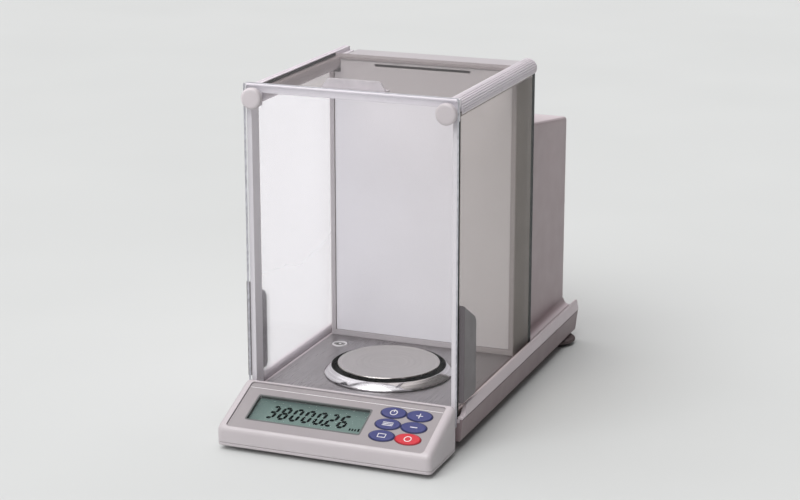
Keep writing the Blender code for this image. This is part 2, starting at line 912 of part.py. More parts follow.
def front_glass():
    glass = plate(
        "front_glass",
        rounded_rectangle(
            (-FRONT_GLASS_HALF, FRONT_GLASS_BOTTOM), (FRONT_GLASS_HALF, FRONT_GLASS_TOP), 1.5 * MM, 2
        ),
        FRONT_GLASS_Y,
        FRONT_GLASS_Y + FRONT_GLASS_THICK,
        "Y",
    )
    for sign in (-1, 1):
        cut(glass, knob_hole(sign, FRONT_GLASS_Y - MM, FRONT_GLASS_Y + FRONT_GLASS_THICK + MM))
    finish(glass, "glass")


def front_posts():
    face = HEADER_Y[0]

    def build(side, sign):
        points = [
            (POST_INNER, face),
            (POST_OUTER, face),
            (POST_OUTER, face + 2 * MM),
            (POST_INNER + 1.8 * MM, face + 2 * MM),
            (POST_INNER + 1.8 * MM, face + 13.5 * MM),
            (POST_INNER, face + 13.5 * MM),
        ]
        section = [(sign * x, y) for x, y in points]
        post = plate("front_post_" + side, section, DECK_Z + 0.6 * MM, SHOULDER_Z, "Z")
        finish(post, "cream_plastic")

    both_sides(build)


def side_doors():
    def build(side, sign):
        door = side_box(
            "side_door_" + side,
            sign,
            SIDE_GLASS_INNER,
            SIDE_GLASS_INNER + GLASS,
            (DOOR_FRONT, SIDE_GLASS_BOTTOM),
            (DOOR_FRONT + DOOR_LENGTH, SIDE_GLASS_TOP),
        )
        finish(door, "glass")

        near = SIDE_GLASS_INNER + GLASS + GAP
        far = RIM_HALF - 0.2 * MM
        y1 = DOOR_FRONT
        y2 = DOOR_FRONT + 30 * MM
        outline = [
            (y1, 43 * MM),
            (y2 - 3 * MM, 43 * MM),
            (y2, 46 * MM),
            (y2, 106 * MM),
            (y2 - 3 * MM, 111 * MM),
            (y1, 127 * MM),
        ]
        x1, x2 = x_span(sign, near, far)
        handle = plate("side_door_handle_" + side, outline, x1, x2, "X")
        bevel(handle, 0.8 * MM, 2, lambda a, b: min(abs(a.x), abs(b.x)) > far - 0.1 * MM)
        finish(handle, "grey_plastic")

    both_sides(build)


def top_door():
    y1, y2 = TOP_DOOR_Y
    glass_top = TOP_GLASS_Z + TOP_GLASS_THICK
    glass = box("top_door", (-TOP_GLASS_HALF, y1, TOP_GLASS_Z), (TOP_GLASS_HALF, y2, glass_top))
    finish(glass, "glass")

    foot = glass_top + GAP
    bend = 3 * MM
    outline = [(28 * MM, foot), (27.2 * MM, foot + 3 * MM)]
    outline += arc((24.6 * MM - bend, TAB_TOP - bend), bend, 10, 90, 4)
    outline += [(-x, z) for x, z in reversed(outline)]
    tab = plate("top_door_tab", outline, y1 + 0.5 * MM, y1 + 3 * MM, "Y")
    flange = box("tab_flange", (-28 * MM, y1 + 0.5 * MM, foot), (28 * MM, y1 + 10 * MM, foot + 1.6 * MM))
    join(tab, flange)
    finish(tab, "grey_plastic")


# ---------------------------------------------------------------- weighing place


def weighing_place():
    place = (0, PAN_Y, 0)
    pan = turned(
        "weighing_pan",
        [
            (0, PAN_Z - 0.5 * MM),
            (PAN_RADIUS - 2 * MM, PAN_Z - 0.5 * MM),
            (PAN_RADIUS - 1.2 * MM, PAN_Z),
            (PAN_RADIUS - 0.3 * MM, PAN_Z - 0.3 * MM),
            (PAN_RADIUS, PAN_Z - 1.2 * MM),
            (PAN_RADIUS - 0.6 * MM, PAN_Z - 2 * MM),
            (PAN_RADIUS - 1.6 * MM, PAN_Z - 1.8 * MM),
            (PAN_RADIUS - 2.4 * MM, PAN_Z - 1.5 * MM),
            (0, PAN_Z - 1.5 * MM),
        ],
        place,
        64,
    )
    finish(pan, "polished_steel")

    ring = turned(
        "draft_ring",
        [
            (50.2 * MM, 40.4 * MM),
            (50.9 * MM, 39.9 * MM),
            (57 * MM, 35.2 * MM),
            (57 * MM, 33.9 * MM),
            (55.4 * MM, 33.9 * MM),
            (50.6 * MM, 37.6 * MM),
            (50.6 * MM, 35.5 * MM),
            (49.4 * MM, 35.5 * MM),
            (49.4 * MM, 40.1 * MM),
            (49.7 * MM, 40.4 * MM),
        ],
        place,
        64,
    )
    finish(ring, "polished_steel")

    support = turned(
        "pan_support",
        [
            (0, PAN_Z - 1.8 * MM),
            (11 * MM, PAN_Z - 1.8 * MM),
            (11 * MM, PAN_Z - 3.4 * MM),
            (4 * MM, PAN_Z - 6.5 * MM),
            (4 * MM, 26.3 * MM),
            (0, 26.3 * MM),
        ],
        place,
        32,
    )
    finish(support, "aluminium")


# ---------------------------------------------------------------- control head


def on_panel(x, up, out):
    """A point given across the panel, up its slope and out of its face."""
    return PANEL_FOOT + Vector(
        (
            x,
            up * math.cos(PANEL_SLOPE) - out * math.sin(PANEL_SLOPE),
            up * math.sin(PANEL_SLOPE) + out * math.cos(PANEL_SLOPE),
        )
    )


def panel_plate(name, points, low, high):
    """An outline in the panel's own plane, from low to high out of its face."""
    mesh = outline_mesh(name, points, high - low)
    obj = add_object(name, mesh, on_panel(0, 0, (low + high) / 2))
    obj.rotation_euler = (PANEL_SLOPE, 0, 0)
    return obj


def head_top(y):
    """Height of the head's rim at a distance back from its front, along the panel's slope."""
    return PANEL_FOOT.z + 1.1 * MM + math.tan(PANEL_SLOPE) * (y - PANEL_FOOT.y)


def head_block(name):
    """The whole head as one block, with large rounded ends and top and smaller ones below."""
    outline = [
        (FRONT, HEAD_BOTTOM),
        (FRONT, head_top(FRONT)),
        (HEAD_REAR, head_top(HEAD_REAR)),
        (HEAD_REAR, HEAD_BOTTOM),
    ]
    block = plate(name, outline, -HEAD_HALF, HEAD_HALF, "X")

    def above_bottom(a, b):
        return max(a.z, b.z) > HEAD_BOTTOM + MM

    def at_bottom(a, b):
        return max(a.z, b.z) < HEAD_BOTTOM + 0.1 * MM

    bevel(block, HEAD_ROUNDING, 5, above_bottom)
    return bevel(block, 2.4 * MM, 3, at_bottom)


def head_hollow():
    """The room inside the head, under the panel."""
    front = FRONT + HEAD_WALL
    back = HEAD_REAR - HEAD_WALL
    drop = 4.4 * MM
    outline = [
        (front, HEAD_BOTTOM),
        (front, 15.5 * MM),
        (front + 3 * MM, head_top(front + 3 * MM) - drop),
        (back, head_top(back) - drop),
        (back, HEAD_BOTTOM),
    ]
    return plate("head_hollow", outline, HEAD_WALL - HEAD_HALF, HEAD_HALF - HEAD_WALL, "X")


def key_holes(grow, low, high):
    for x in KEY_COLUMNS:
        for up in KEY_ROWS:
            size = (KEY_SIZE[0] + 2 * grow, KEY_SIZE[1] + 2 * grow)
            yield panel_plate("key_hole", ellipse((x, up), size), low, high)


def bracket_slot(name, low, high):
    return box(name, (-37 * MM, low, 12.6 * MM), (37 * MM, high, 15.2 * MM))


def control_head():
    cover = head_block("control_head_cover")
    below = box("below_split", (-0.2, FRONT - 0.05, -0.02), (0.2, HEAD_REAR + 0.05, HEAD_SPLIT_Z))
    recess = panel_plate(
        "panel_recess",
        rounded_rectangle((-PANEL_HALF, 0), (PANEL_HALF, PANEL_LENGTH), 3 * MM),
        -1.1 * MM,
        8 * MM,
    )
    opening = panel_plate("window_opening", window_outline(0), -8 * MM, 5 * MM)
    cut(cover, below, head_hollow(), recess, opening, *key_holes(0.45 * MM, -8 * MM, 5 * MM))
    cut(cover, bracket_slot("cover_slot", HEAD_REAR - 8 * MM, HEAD_REAR + 5 * MM))
    finish(cover, "cream_plastic")

    base = head_block("control_head_base")
    above = box(
        "above_split", (-0.2, FRONT - 0.05, HEAD_SPLIT_Z - GAP), (0.2, HEAD_REAR + 0.05, 0.2)
    )
    tray = box(
        "head_tray",
        (HEAD_WALL - HEAD_HALF, FRONT + HEAD_WALL, 5.6 * MM),
        (HEAD_HALF - HEAD_WALL, HEAD_REAR - HEAD_WALL, 20 * MM),
    )
    cut(base, above, tray)
    finish(base, "cream_plastic")

    face = panel_plate(
        "keypad_panel",
        rounded_rectangle(
            (GAP - PANEL_HALF, GAP), (PANEL_HALF - GAP, PANEL_LENGTH - GAP), 2.8 * MM
        ),
        -0.8 * MM,
        0,
    )
    face_window = panel_plate("face_window", window_outline(0), -5 * MM, 5 * MM)
    cut(face, face_window, *key_holes(0.45 * MM, -5 * MM, 5 * MM))
    finish(face, "panel_grey")


def window_outline(inset):
    low = (WINDOW_X[0] + inset, WINDOW_UP[0] + inset)
    high = (WINDOW_X[1] - inset, WINDOW_UP[1] - inset)
    return rounded_rectangle(low, high, 1.5 * MM - inset, 2)


def display():
    window = panel_plate("display_window", window_outline(0.3 * MM), -1.0 * MM, -0.2 * MM)
    finish(window, "glass")
    lcd = panel_plate("lcd_module", window_outline(0.5 * MM), -5.2 * MM, -2.4 * MM)
    finish(lcd, "lcd_green")


def keys():
    mat = panel_plate(
        "key_mat",
        [(34 * MM, 6.4 * MM), (82 * MM, 6.4 * MM), (82 * MM, 49.6 * MM), (34 * MM, 49.6 * MM)],
        -8.3 * MM,
        -7.3 * MM,
    )
    finish(mat, "rubber")
    for row, names in zip(KEY_ROWS, KEY_NAMES):
        for column, name in zip(KEY_COLUMNS, names):
            key = panel_plate(name, ellipse((column, row), KEY_SIZE), -6.4 * MM, KEY_PROUD)
            shift = Vector((column, row, 0))
            key.data.transform(Matrix.Translation(-shift))
            key.location = on_panel(column, row, (KEY_PROUD - 6.4 * MM) / 2)
            top = (KEY_PROUD + 6.4 * MM) / 2
            key.data.update()
            round_key_top(key, top)
            finish(key, "key_red" if name == "key_rezero" else "key_blue")


def round_key_top(key, top):
    shape = bmesh.new()
    shape.from_mesh(key.data)
    rim = [
        edge
        for edge in shape.edges
        if all(vert.co.z > top - 1e-5 for vert in edge.verts)
        and len(edge.link_faces) == 2
        and edge.calc_face_angle() > math.radians(30)
    ]
    bmesh.ops.bevel(shape, geom=rim, offset=0.7 * MM, segments=2, profile=0.5, affect="EDGES")
    shape.to_mesh(key.data)
    shape.free()


def head_bracket():
    bracket = box(
        "head_bracket",
        (-36 * MM, HEAD_REAR - 14 * MM, 13 * MM),
        (36 * MM, BASE_FRONT + 26 * MM, 14.8 * MM),
    )
    finish(bracket, "iron")


# ---------------------------------------------------------------- inside


def weighing_cell():
    half = 34 * MM
    bottom = CASE_BOTTOM + 2.5 * MM + GAP
    frame = box(
        "cell_frame",
        (-half, CELL_POST_Y - 30 * MM, bottom),
        (half, REAR - 22 * MM, bottom + 6 * MM),
    )
    post = box(
        "cell_post",
        (-half, CELL_POST_Y, bottom + 3 * MM),
        (half, CELL_POST_Y + 12 * MM, 124 * MM),
    )
    fulcrum = box(
        "cell_fulcrum",
        (-8 * MM, LEVER_PIVOT_Y - 3 * MM, bottom + 3 * MM),
        (8 * MM, LEVER_PIVOT_Y + 3 * MM, LEVER_Z - 3.4 * MM),
    )
    window = box(
        "lever_window",
        (-14 * MM, CELL_POST_Y - 5 * MM, LEVER_Z - 14 * MM),
        (14 * MM, CELL_POST_Y + 20 * MM, LEVER_Z + 14 * MM),
    )
    base_cut = box(
        "frame_cut",
        (-half - MM, CELL_POST_Y - 31 * MM, bottom - MM),
        (-12 * MM, CELL_POST_Y - 0.1 * MM, bottom + 10 * MM),
    )
    join(frame, post, fulcrum)
    cut(frame, window, base_cut)
    finish(frame, "aluminium")

    back = CELL_FRONT + 8 * MM
    receiver = box("load_receiver", (-half, CELL_FRONT, 34 * MM), (half, back, 126 * MM))
    hanger = box("receiver_hanger", (-14 * MM, CELL_FRONT, 18 * MM), (14 * MM, back, 40 * MM))
    arm = box("receiver_arm", (-12 * MM, PAN_Y - 12 * MM, 18 * MM), (12 * MM, back, 26 * MM))
    window = box(
        "receiver_window",
        (-14 * MM, CELL_FRONT - 5 * MM, LEVER_Z - 12 * MM),
        (14 * MM, CELL_FRONT + 20 * MM, LEVER_Z + 12 * MM),
    )
    hook = box(
        "receiver_hook",
        (-14.5 * MM, CELL_FRONT + MM, LEVER_Z - 8 * MM),
        (14.5 * MM, CELL_FRONT + 7 * MM, LEVER_Z - 4 * MM),
    )
    fork = box(
        "weight_fork",
        (half - 4 * MM, CELL_FRONT - 6 * MM, 52.6 * MM),
        (66 * MM, CELL_FRONT + 14 * MM, 55.6 * MM),
    )
    fork_slot = box(
        "fork_slot",
        (47.5 * MM, CELL_FRONT - 2.5 * MM, 50 * MM),
        (70 * MM, CELL_FRONT + 10.5 * MM, 60 * MM),
    )
    join(receiver, hanger, arm, fork)
    cut(receiver, window, fork_slot)
    join(receiver, hook)
    finish(receiver, "aluminium")

    for name, z in zip(("lower_guide", "upper_guide"), GUIDE_Z):
        y1 = CELL_FRONT + 8 * MM + GAP
        y2 = CELL_POST_Y - GAP
        guide = box(name, (-half + 2 * MM, y1, z - 0.6 * MM), (half - 2 * MM, y2, z + 0.6 * MM))
        middle = box(
            "guide_window",
            (-half + 12 * MM, y1 + 4 * MM, z - 5 * MM),
            (half - 12 * MM, y2 - 4 * MM, z + 5 * MM),
        )
        cut(guide, middle)
        finish(guide, "polished_steel")

    low = LEVER_Z - 3 * MM
    high = LEVER_Z + 3 * MM
    lever = box("balance_lever", (-5 * MM, CELL_FRONT + 2 * MM, low), (5 * MM, COIL_Y, high))
    head = cylinder("lever_head", 15 * MM, (0, COIL_Y, low), (0, COIL_Y, high))
    join(lever, head)
    finish(lever, "aluminium")

    coil = turned(
        "force_coil",
        [
            (17 * MM, LEVER_Z - 3.5 * MM),
            (17 * MM, LEVER_Z - 26 * MM),
            (14 * MM, LEVER_Z - 26 * MM),
            (14 * MM, LEVER_Z - 3.5 * MM),
        ],
        (0, COIL_Y, 0),
        32,
    )
    finish(coil, "copper")

    pot_bottom = bottom + 6 * MM + GAP
    pot = turned(
        "magnet_pot",
        [
            (0, LEVER_Z - 14 * MM),
            (12 * MM, LEVER_Z - 14 * MM),
            (12 * MM, LEVER_Z - 30 * MM),
            (19 * MM, LEVER_Z - 30 * MM),
            (19 * MM, LEVER_Z - 14 * MM),
            (28 * MM, LEVER_Z - 14 * MM),
            (28 * MM, pot_bottom),
            (0, pot_bottom),
        ],
        (0, COIL_Y, 0),
        32,
    )
    finish(pot, "iron")


def calibration_unit():
    x = 54 * MM
    y = CELL_FRONT + 4 * MM
    bottom = CASE_BOTTOM + 2.5 * MM + GAP
    motor = box("lifter_motor", (x - 11 * MM, y - 11 * MM, bottom), (x + 11 * MM, y + 11 * MM, 36 * MM))
    bore = cylinder("motor_bore", 3.4 * MM, (x, y, 20 * MM), (x, y, 60 * MM), "Z", 20)
    cut(motor, bore)
    finish(motor, "black_plastic")
    lifter = turned(
        "weight_lifter",
        [
            (0, 48 * MM),
            (4.5 * MM, 48 * MM),
            (4.5 * MM, 45 * MM),
            (3 * MM, 43 * MM),
            (3 * MM, 23 * MM),
            (0, 23 * MM),
        ],
        (x, y, 0),
        24,
    )
    finish(lifter, "grey_plastic")
    weight = turned(
        "calibration_weight",
        [
            (0, 86 * MM),
            (11 * MM, 86 * MM),
            (12 * MM, 85 * MM),
            (12 * MM, 58.8 * MM),
            (11.2 * MM, 58 * MM),
            (5 * MM, 58 * MM),
            (5 * MM, 48.3 * MM),
            (0, 48.3 * MM),
        ],
        (x, y, 0),
        32,
    )
    finish(weight, "polished_steel")


def main_board():
    x = 70 * MM
    board = box(
        "main_board",
        (-x - 1.6 * MM, HOUSING_Y[0] + 12 * MM, 60 * MM),
        (-x, REAR - 14 * MM, 190 * MM),
    )
    finish(board, "circuit_green")


lower_case()
upper_cover()
floor_plate()
bubble_level()
feet()
column_shell()
chamber_back_panel()
rear_housing()
rear_connectors()
rails()
front_knobs()
top_header()
front_glass()
front_posts()
side_doors()
top_door()
weighing_place()
control_head()
display()
keys()
head_bracket()
weighing_cell()
calibration_unit()
main_board()
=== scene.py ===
"""Looks of the analytical balance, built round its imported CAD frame."""

import math

import bmesh
import bpy
from mathutils import Matrix, Vector

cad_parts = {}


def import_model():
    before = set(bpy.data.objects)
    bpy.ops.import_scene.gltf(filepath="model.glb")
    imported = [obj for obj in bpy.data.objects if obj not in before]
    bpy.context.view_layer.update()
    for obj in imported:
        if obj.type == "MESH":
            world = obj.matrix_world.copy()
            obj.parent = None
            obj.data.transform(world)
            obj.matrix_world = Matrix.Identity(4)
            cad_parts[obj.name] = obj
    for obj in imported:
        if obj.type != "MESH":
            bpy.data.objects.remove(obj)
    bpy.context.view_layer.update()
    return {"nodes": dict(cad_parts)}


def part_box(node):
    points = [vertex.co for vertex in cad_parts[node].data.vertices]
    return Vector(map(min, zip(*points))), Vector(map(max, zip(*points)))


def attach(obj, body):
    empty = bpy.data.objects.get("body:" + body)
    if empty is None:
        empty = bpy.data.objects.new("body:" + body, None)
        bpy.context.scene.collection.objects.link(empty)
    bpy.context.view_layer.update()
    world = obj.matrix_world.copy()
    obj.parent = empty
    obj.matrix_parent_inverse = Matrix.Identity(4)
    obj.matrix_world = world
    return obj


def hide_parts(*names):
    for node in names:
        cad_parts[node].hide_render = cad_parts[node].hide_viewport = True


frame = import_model()
MM = 0.001
FRONT = -0.1975
NODES = frame["nodes"]

# Sizes shared with the CAD source
PANEL_SLOPE = math.radians(21.3)
PANEL_FOOT = Vector((0, FRONT + 2.7 * MM, 20.8 * MM))
WINDOW_X = (-74.6 * MM, 26.8 * MM)
WINDOW_UP = (12.3 * MM, 42.6 * MM)
KEY_SIZE = (21.6 * MM, 12.6 * MM)
RAIL_X = 86.5 * MM
RAIL_Z = 289.6 * MM
RAIL_RADIUS = 8.5 * MM


# ---------------------------------------------------------------- material nodes


def srgb(r, g, b):
    """A linear colour from 0-255 display values."""

    def one(v):
        v /= 255
        return v / 12.92 if v <= 0.04045 else ((v + 0.055) / 1.055) ** 2.4

    return (one(r), one(g), one(b), 1)


class Tree:
    """A short way to build one material's nodes."""

    def __init__(self, name):
        self.mat = bpy.data.materials.new(name)
        self.mat.use_nodes = True
        self.nt = self.mat.node_tree
        self.nt.nodes.clear()
        self.out = self.nt.nodes.new("ShaderNodeOutputMaterial")
        self.coords = self.add("TexCoord").outputs["Object"]

    def add(self, kind, **values):
        node = self.nt.nodes.new("ShaderNode" + kind)
        for key, value in values.items():
            setattr(node, key, value)
        return node

    def put(self, socket, value):
        if isinstance(value, bpy.types.NodeSocket):
            self.nt.links.new(value, socket)
        elif value is not None:
            socket.default_value = value

    def math(self, op, a, b=None, c=None, clamp=False):
        node = self.add("Math", operation=op, use_clamp=clamp)
        for socket, value in zip(node.inputs, (a, b, c)):
            self.put(socket, value)
        return node.outputs[0]

    def remap(self, value, low, high, to_low=0.0, to_high=1.0):
        node = self.add("MapRange")
        for socket, given in zip(node.inputs, (value, low, high, to_low, to_high)):
            self.put(socket, given)
        return node.outputs[0]

    def noise(self, scale, detail=2.0, stretch=None, rough=0.5, coords=None):
        vector = coords or self.coords
        if stretch:
            mapping = self.add("Mapping")
            self.put(mapping.inputs["Vector"], vector)
            mapping.inputs["Scale"].default_value = stretch
            vector = mapping.outputs[0]
        node = self.add("TexNoise")
        self.put(node.inputs["Vector"], vector)
        node.inputs["Scale"].default_value = scale
        node.inputs["Detail"].default_value = detail
        node.inputs["Roughness"].default_value = rough
        return node.outputs[0]

    def mix(self, share, a, b, blend="MIX"):
        node = self.add("Mix", data_type="RGBA", blend_type=blend)
        self.put(node.inputs[0], share)
        self.put(node.inputs[6], a)
        self.put(node.inputs[7], b)
        return node.outputs[2]

    def grey(self, value):
        node = self.add("CombineColor")
        for socket in node.inputs:
            self.put(socket, value)
        return node.outputs[0]

    def height(self):
        split = self.add("SeparateXYZ")
        self.put(split.inputs[0], self.coords)
        return split.outputs[2]

    def blend(self, share, first, second):
        node = self.add("MixShader")
        self.put(node.inputs[0], share)
        self.put(node.inputs[1], first)
        self.put(node.inputs[2], second)
        return node.outputs[0]

    def mirror(self, strength):
        """How much a thin sheet mirrors at each angle, the same from inside and outside."""
        node = self.add("LayerWeight")
        node.inputs["Blend"].default_value = 0.5
        steep = self.math("MULTIPLY", self.math("POWER", node.outputs["Facing"], 5), 0.96)
        return self.math("MULTIPLY", self.math("ADD", steep, 0.04), strength, clamp=True)

    def edges(self, radius):
        """(edge mask, rounded normal): the mask is 1 on sharp corners."""
        rounded = self.add("Bevel", samples=6)
        rounded.inputs["Radius"].default_value = radius
        flat = self.add("NewGeometry")
        dot = self.add("VectorMath", operation="DOT_PRODUCT")
        self.put(dot.inputs[0], flat.outputs["Normal"])
        self.put(dot.inputs[1], rounded.outputs[0])
        return self.remap(dot.outputs["Value"], 0.995, 0.8), rounded.outputs[0]

    def bump(self, height, strength, distance, normal=None):
        node = self.add("Bump")
        node.inputs["Strength"].default_value = strength
        node.inputs["Distance"].default_value = distance
        self.put(node.inputs["Height"], height)
        self.put(node.inputs["Normal"], normal)
        return node.outputs[0]

    def shader(self, colour, rough, normal=None, **more):
        node = self.add("BsdfPrincipled")
        self.put(node.inputs["Base Color"], colour)
        self.put(node.inputs["Roughness"], rough)
        self.put(node.inputs["Normal"], normal)
        for key, value in more.items():
            self.put(node.inputs[key.replace("_", " ")], value)
        self.put(self.out.inputs[0], node.outputs[0])
        return node

    def paint_dark_shade(self, share):
        """Paints a share of the surface near-black as painted shade, faintly mottled."""
        shade_coat = self.add("BsdfPrincipled")
        # slight mottling of the painted shade
        dust = self.remap(self.noise(500, 4), 0.4, 0.7)
        shade = self.mix(dust, (0.004, 0.004, 0.004, 1), (0.009, 0.009, 0.009, 1))
        self.put(shade_coat.inputs["Base Color"], shade)
        shade_coat.inputs["Roughness"].default_value = 0.5
        shade_coat.inputs["Specular IOR Level"].default_value = 0.15
        finish = self.out.inputs[0].links[0].from_socket
        self.put(self.out.inputs[0], self.blend(share, finish, shade_coat.outputs[0]))


def plastic(
    name,
    colour,
    rough=0.42,
    grain=2600,
    bump=0.22,
    age=0.05,
    edge=0.8 * MM,
    coat=0.0,
    painted_side_shade=None,
    shine=0.5,
):
    """Moulded plastic or paint: fine grain, slow colour drift, scuffed and lighter edges.

    The side colour is painted shade: faces that point left or right get it in place of the main colour,
    because they face away from the light.
    """
    t = Tree(name)
    body = colour
    # Painted shade: the side colour darkens the faces that point left or right.
    if painted_side_shade:
        facing = t.add("SeparateXYZ")
        t.put(facing.inputs[0], t.add("NewGeometry").outputs["Normal"])
        body = t.mix(t.remap(t.math("ABSOLUTE", facing.outputs[0]), 0.5, 0.85), colour, painted_side_shade)
    drift = t.remap(t.noise(14, 3), 0.3, 0.7, 1 - age, 1 + age * 0.4)
    shade = t.mix(1.0, body, t.grey(drift), "MULTIPLY")
    mask, normal = t.edges(edge)
    scuff = t.math("MULTIPLY", mask, t.remap(t.noise(420, 4), 0.45, 0.7), clamp=True)
    worn = tuple(min(1, c * 1.12 + 0.02) for c in colour[:3]) + (1,)
    shade = t.mix(t.math("MULTIPLY", scuff, 0.55), shade, worn)
    specks = t.remap(t.noise(900, 5, rough=0.7), 0.66, 0.78)
    shade = t.mix(t.math("MULTIPLY", specks, 0.10), shade, tuple(c * 0.55 for c in colour[:3]) + (1,))
    gloss = t.remap(t.noise(60, 4), 0.3, 0.7, rough - 0.05, rough + 0.07)
    gloss = t.math("ADD", gloss, t.math("MULTIPLY", scuff, 0.12))
    height = t.math("ADD", t.noise(grain, 2), t.math("MULTIPLY", t.noise(grain / 9, 2), 0.4))
    grainy = t.bump(height, bump, 0.05 * MM, normal)
    t.shader(shade, gloss, grainy, Coat_Weight=coat, Specular_IOR_Level=shine)
    return t.mat


def brushed(name, colour, rough=0.3, along=(30, 1800, 1800), bump=0.25, edge=0.5 * MM, shade_well=None):
    """Metal with a straight grain: long along one axis, fine across it.

    The last argument gives the middle and radius of a round area painted near-black as shade.
    """
    t = Tree(name)
    grain = t.noise(1.0, 4, along, 0.6)
    blotch = t.noise(26, 3)
    dark = tuple(c * 0.72 for c in colour[:3]) + (1,)
    shade = t.mix(t.remap(grain, 0.3, 0.7), dark, colour)
    shade = t.mix(t.remap(blotch, 0.45, 0.75, 0.0, 0.25), shade, dark)
    mask, normal = t.edges(edge)
    shade = t.mix(t.math("MULTIPLY", mask, 0.4), shade, (0.9, 0.9, 0.9, 1))
    uneven = t.math("ADD", grain, t.math("MULTIPLY", blotch, 0.6))
    gloss = t.remap(uneven, 0.5, 1.1, rough - 0.08, rough + 0.12)
    t.shader(shade, gloss, t.bump(grain, bump, 0.03 * MM, normal), Metallic=1.0)
    # Painted shade: near-black inside the round area under the pan and draft ring.
    if shade_well:
        away = t.add("VectorMath", operation="DISTANCE")
        t.put(away.inputs[0], t.coords)
        away.inputs[1].default_value = shade_well[0]
        t.paint_dark_shade(t.remap(away.outputs["Value"], shade_well[1] + 0.2 * MM, shade_well[1]))
    return t.mat


def spun(name, colour, rough=0.16, rings=1500, bump=0.2, shade_within=0):
    """Metal turned on a lathe: fine rings about the piece's own Z, with a few faint scratches.

    The last argument is the radius inside which it is painted near-black as shade.
    """
    t = Tree(name)
    split = t.add("SeparateXYZ")
    t.put(split.inputs[0], t.coords)
    squares = [t.math("POWER", split.outputs[axis], 2) for axis in (0, 1)]
    radius = t.math("SQRT", t.math("ADD", *squares))
    joined = t.add("CombineXYZ")
    t.put(joined.inputs[0], t.math("MULTIPLY", radius, rings))
    t.put(joined.inputs[1], t.math("MULTIPLY", split.outputs[2], rings))
    ring = t.noise(1.0, 3, coords=joined.outputs[0])
    blotch = t.noise(40, 3)
    scratch = t.remap(t.noise(1.0, 2, (60, 900, 60)), 0.68, 0.74)
    dark = tuple(c * 0.8 for c in colour[:3]) + (1,)
    shade = t.mix(t.remap(ring, 0.35, 0.7), dark, colour)
    gloss = t.remap(blotch, 0.3, 0.7, rough - 0.04, rough + 0.08)
    gloss = t.math("ADD", gloss, t.math("MULTIPLY", scratch, 0.12))
    _, normal = t.edges(0.4 * MM)
    t.shader(shade, gloss, t.bump(ring, bump, 0.02 * MM, normal), Metallic=1.0)
    # Painted shade: near-black inside the given radius.
    if shade_within:
        t.paint_dark_shade(t.remap(radius, shade_within + 0.1 * MM, shade_within))
    return t.mat


def pane(name, thin, edge_colour, mirror, veil, tint, end_colour=None):
    """Clear sheet glass: its broad faces pass light and mirror a little, and its cut edges are tinted.

    thin is the axis across the sheet, 0, 1 or 2. veil is the share of light that a fine white
    film scatters at the foot and at the top of the chamber. end_colour is for the edges that face
    the front and the rear, where they differ.
    """
    t = Tree(name)
    flat = t.add("NewGeometry")
    split = t.add("SeparateXYZ")
    t.put(split.inputs[0], flat.outputs["Normal"])
    broad = t.remap(t.math("ABSOLUTE", split.outputs[thin]), 0.6, 0.8)
    smudge = t.noise(9, 4, rough=0.55)
    dust = t.remap(t.noise(2600, 3, rough=0.7), 0.70, 0.76)
    clear = t.add("BsdfTransparent")
    clear.inputs[0].default_value = tint
    gloss = t.add("BsdfGlossy")
    gloss.inputs["Color"].default_value = (0.96, 0.96, 0.97, 1)
    gloss.inputs["Roughness"].default_value = 0.03
    sheet = t.blend(t.mirror(mirror), clear.outputs[0], gloss.outputs[0])
    film = t.add("BsdfDiffuse")
    film.inputs[0].default_value = (0.95, 0.94, 0.97, 1)
    through = t.add("BsdfTranslucent")
    through.inputs[0].default_value = (0.95, 0.94, 0.97, 1)
    cloud = t.blend(0.5, film.outputs[0], through.outputs[0])
    share = t.remap(t.height(), 0.06, 0.17, veil[0], veil[1])
    share = t.math("MULTIPLY", share, t.remap(smudge, 0.3, 0.7, 0.985, 1.015))
    share = t.math("ADD", share, t.math("MULTIPLY", dust, 0.002))
    hazy = t.blend(share, sheet, cloud)
    cut = t.add("BsdfPrincipled")
    deep = tuple(c * 0.7 for c in edge_colour[:3]) + (1,)
    shade = t.mix(t.remap(t.noise(260, 3), 0.35, 0.65), edge_colour, deep)
    if end_colour:
        shade = t.mix(t.remap(t.math("ABSOLUTE", split.outputs[1]), 0.6, 0.8), shade, end_colour)
    t.put(cut.inputs["Base Color"], shade)
    cut.inputs["Roughness"].default_value = 0.25
    cut.inputs["Coat Weight"].default_value = 0.4
    lit = t.add("BsdfTranslucent")
    t.put(lit.inputs[0], shade)
    t.put(t.out.inputs[0], t.blend(broad, t.blend(0.5, cut.outputs[0], lit.outputs[0]), hazy))
    return t.mat


def rubber(name, colour=(0.035, 0.033, 0.033, 1)):
    """Matt rubber, dusty in patches."""
    t = Tree(name)
    dust = t.remap(t.noise(240, 5, rough=0.7), 0.45, 0.8)
    shade = t.mix(t.math("MULTIPLY", dust, 0.35), colour, (0.16, 0.15, 0.14, 1))
    _, normal = t.edges(0.6 * MM)
    t.shader(shade, t.remap(dust, 0, 1, 0.62, 0.85), t.bump(t.noise(1400, 3), 0.4, 0.06 * MM, normal))
    return t.mat


def circuit(name):
    """A green board with fine traces and pads."""
    t = Tree(name)
    cells = t.add("TexBrick")
    t.put(cells.inputs["Vector"], t.coords)
    cells.inputs["Scale"].default_value = 160
    cells.inputs["Color1"].default_value = (0.02, 0.16, 0.06, 1)
    cells.inputs["Color2"].default_value = (0.03, 0.12, 0.05, 1)
    cells.inputs["Mortar"].default_value = (0.10, 0.32, 0.12, 1)
    pads = t.add("TexVoronoi")
    t.put(pads.inputs["Vector"], t.coords)
    pads.inputs["Scale"].default_value = 240
    dots = t.remap(pads.outputs["Distance"], 0.16, 0.12)
    shade = t.mix(dots, cells.outputs["Color"], (0.55, 0.50, 0.36, 1))
    t.shader(shade, t.remap(dots, 0, 1, 0.45, 0.25), t.bump(dots, 0.5, 0.1 * MM))
    return t.mat


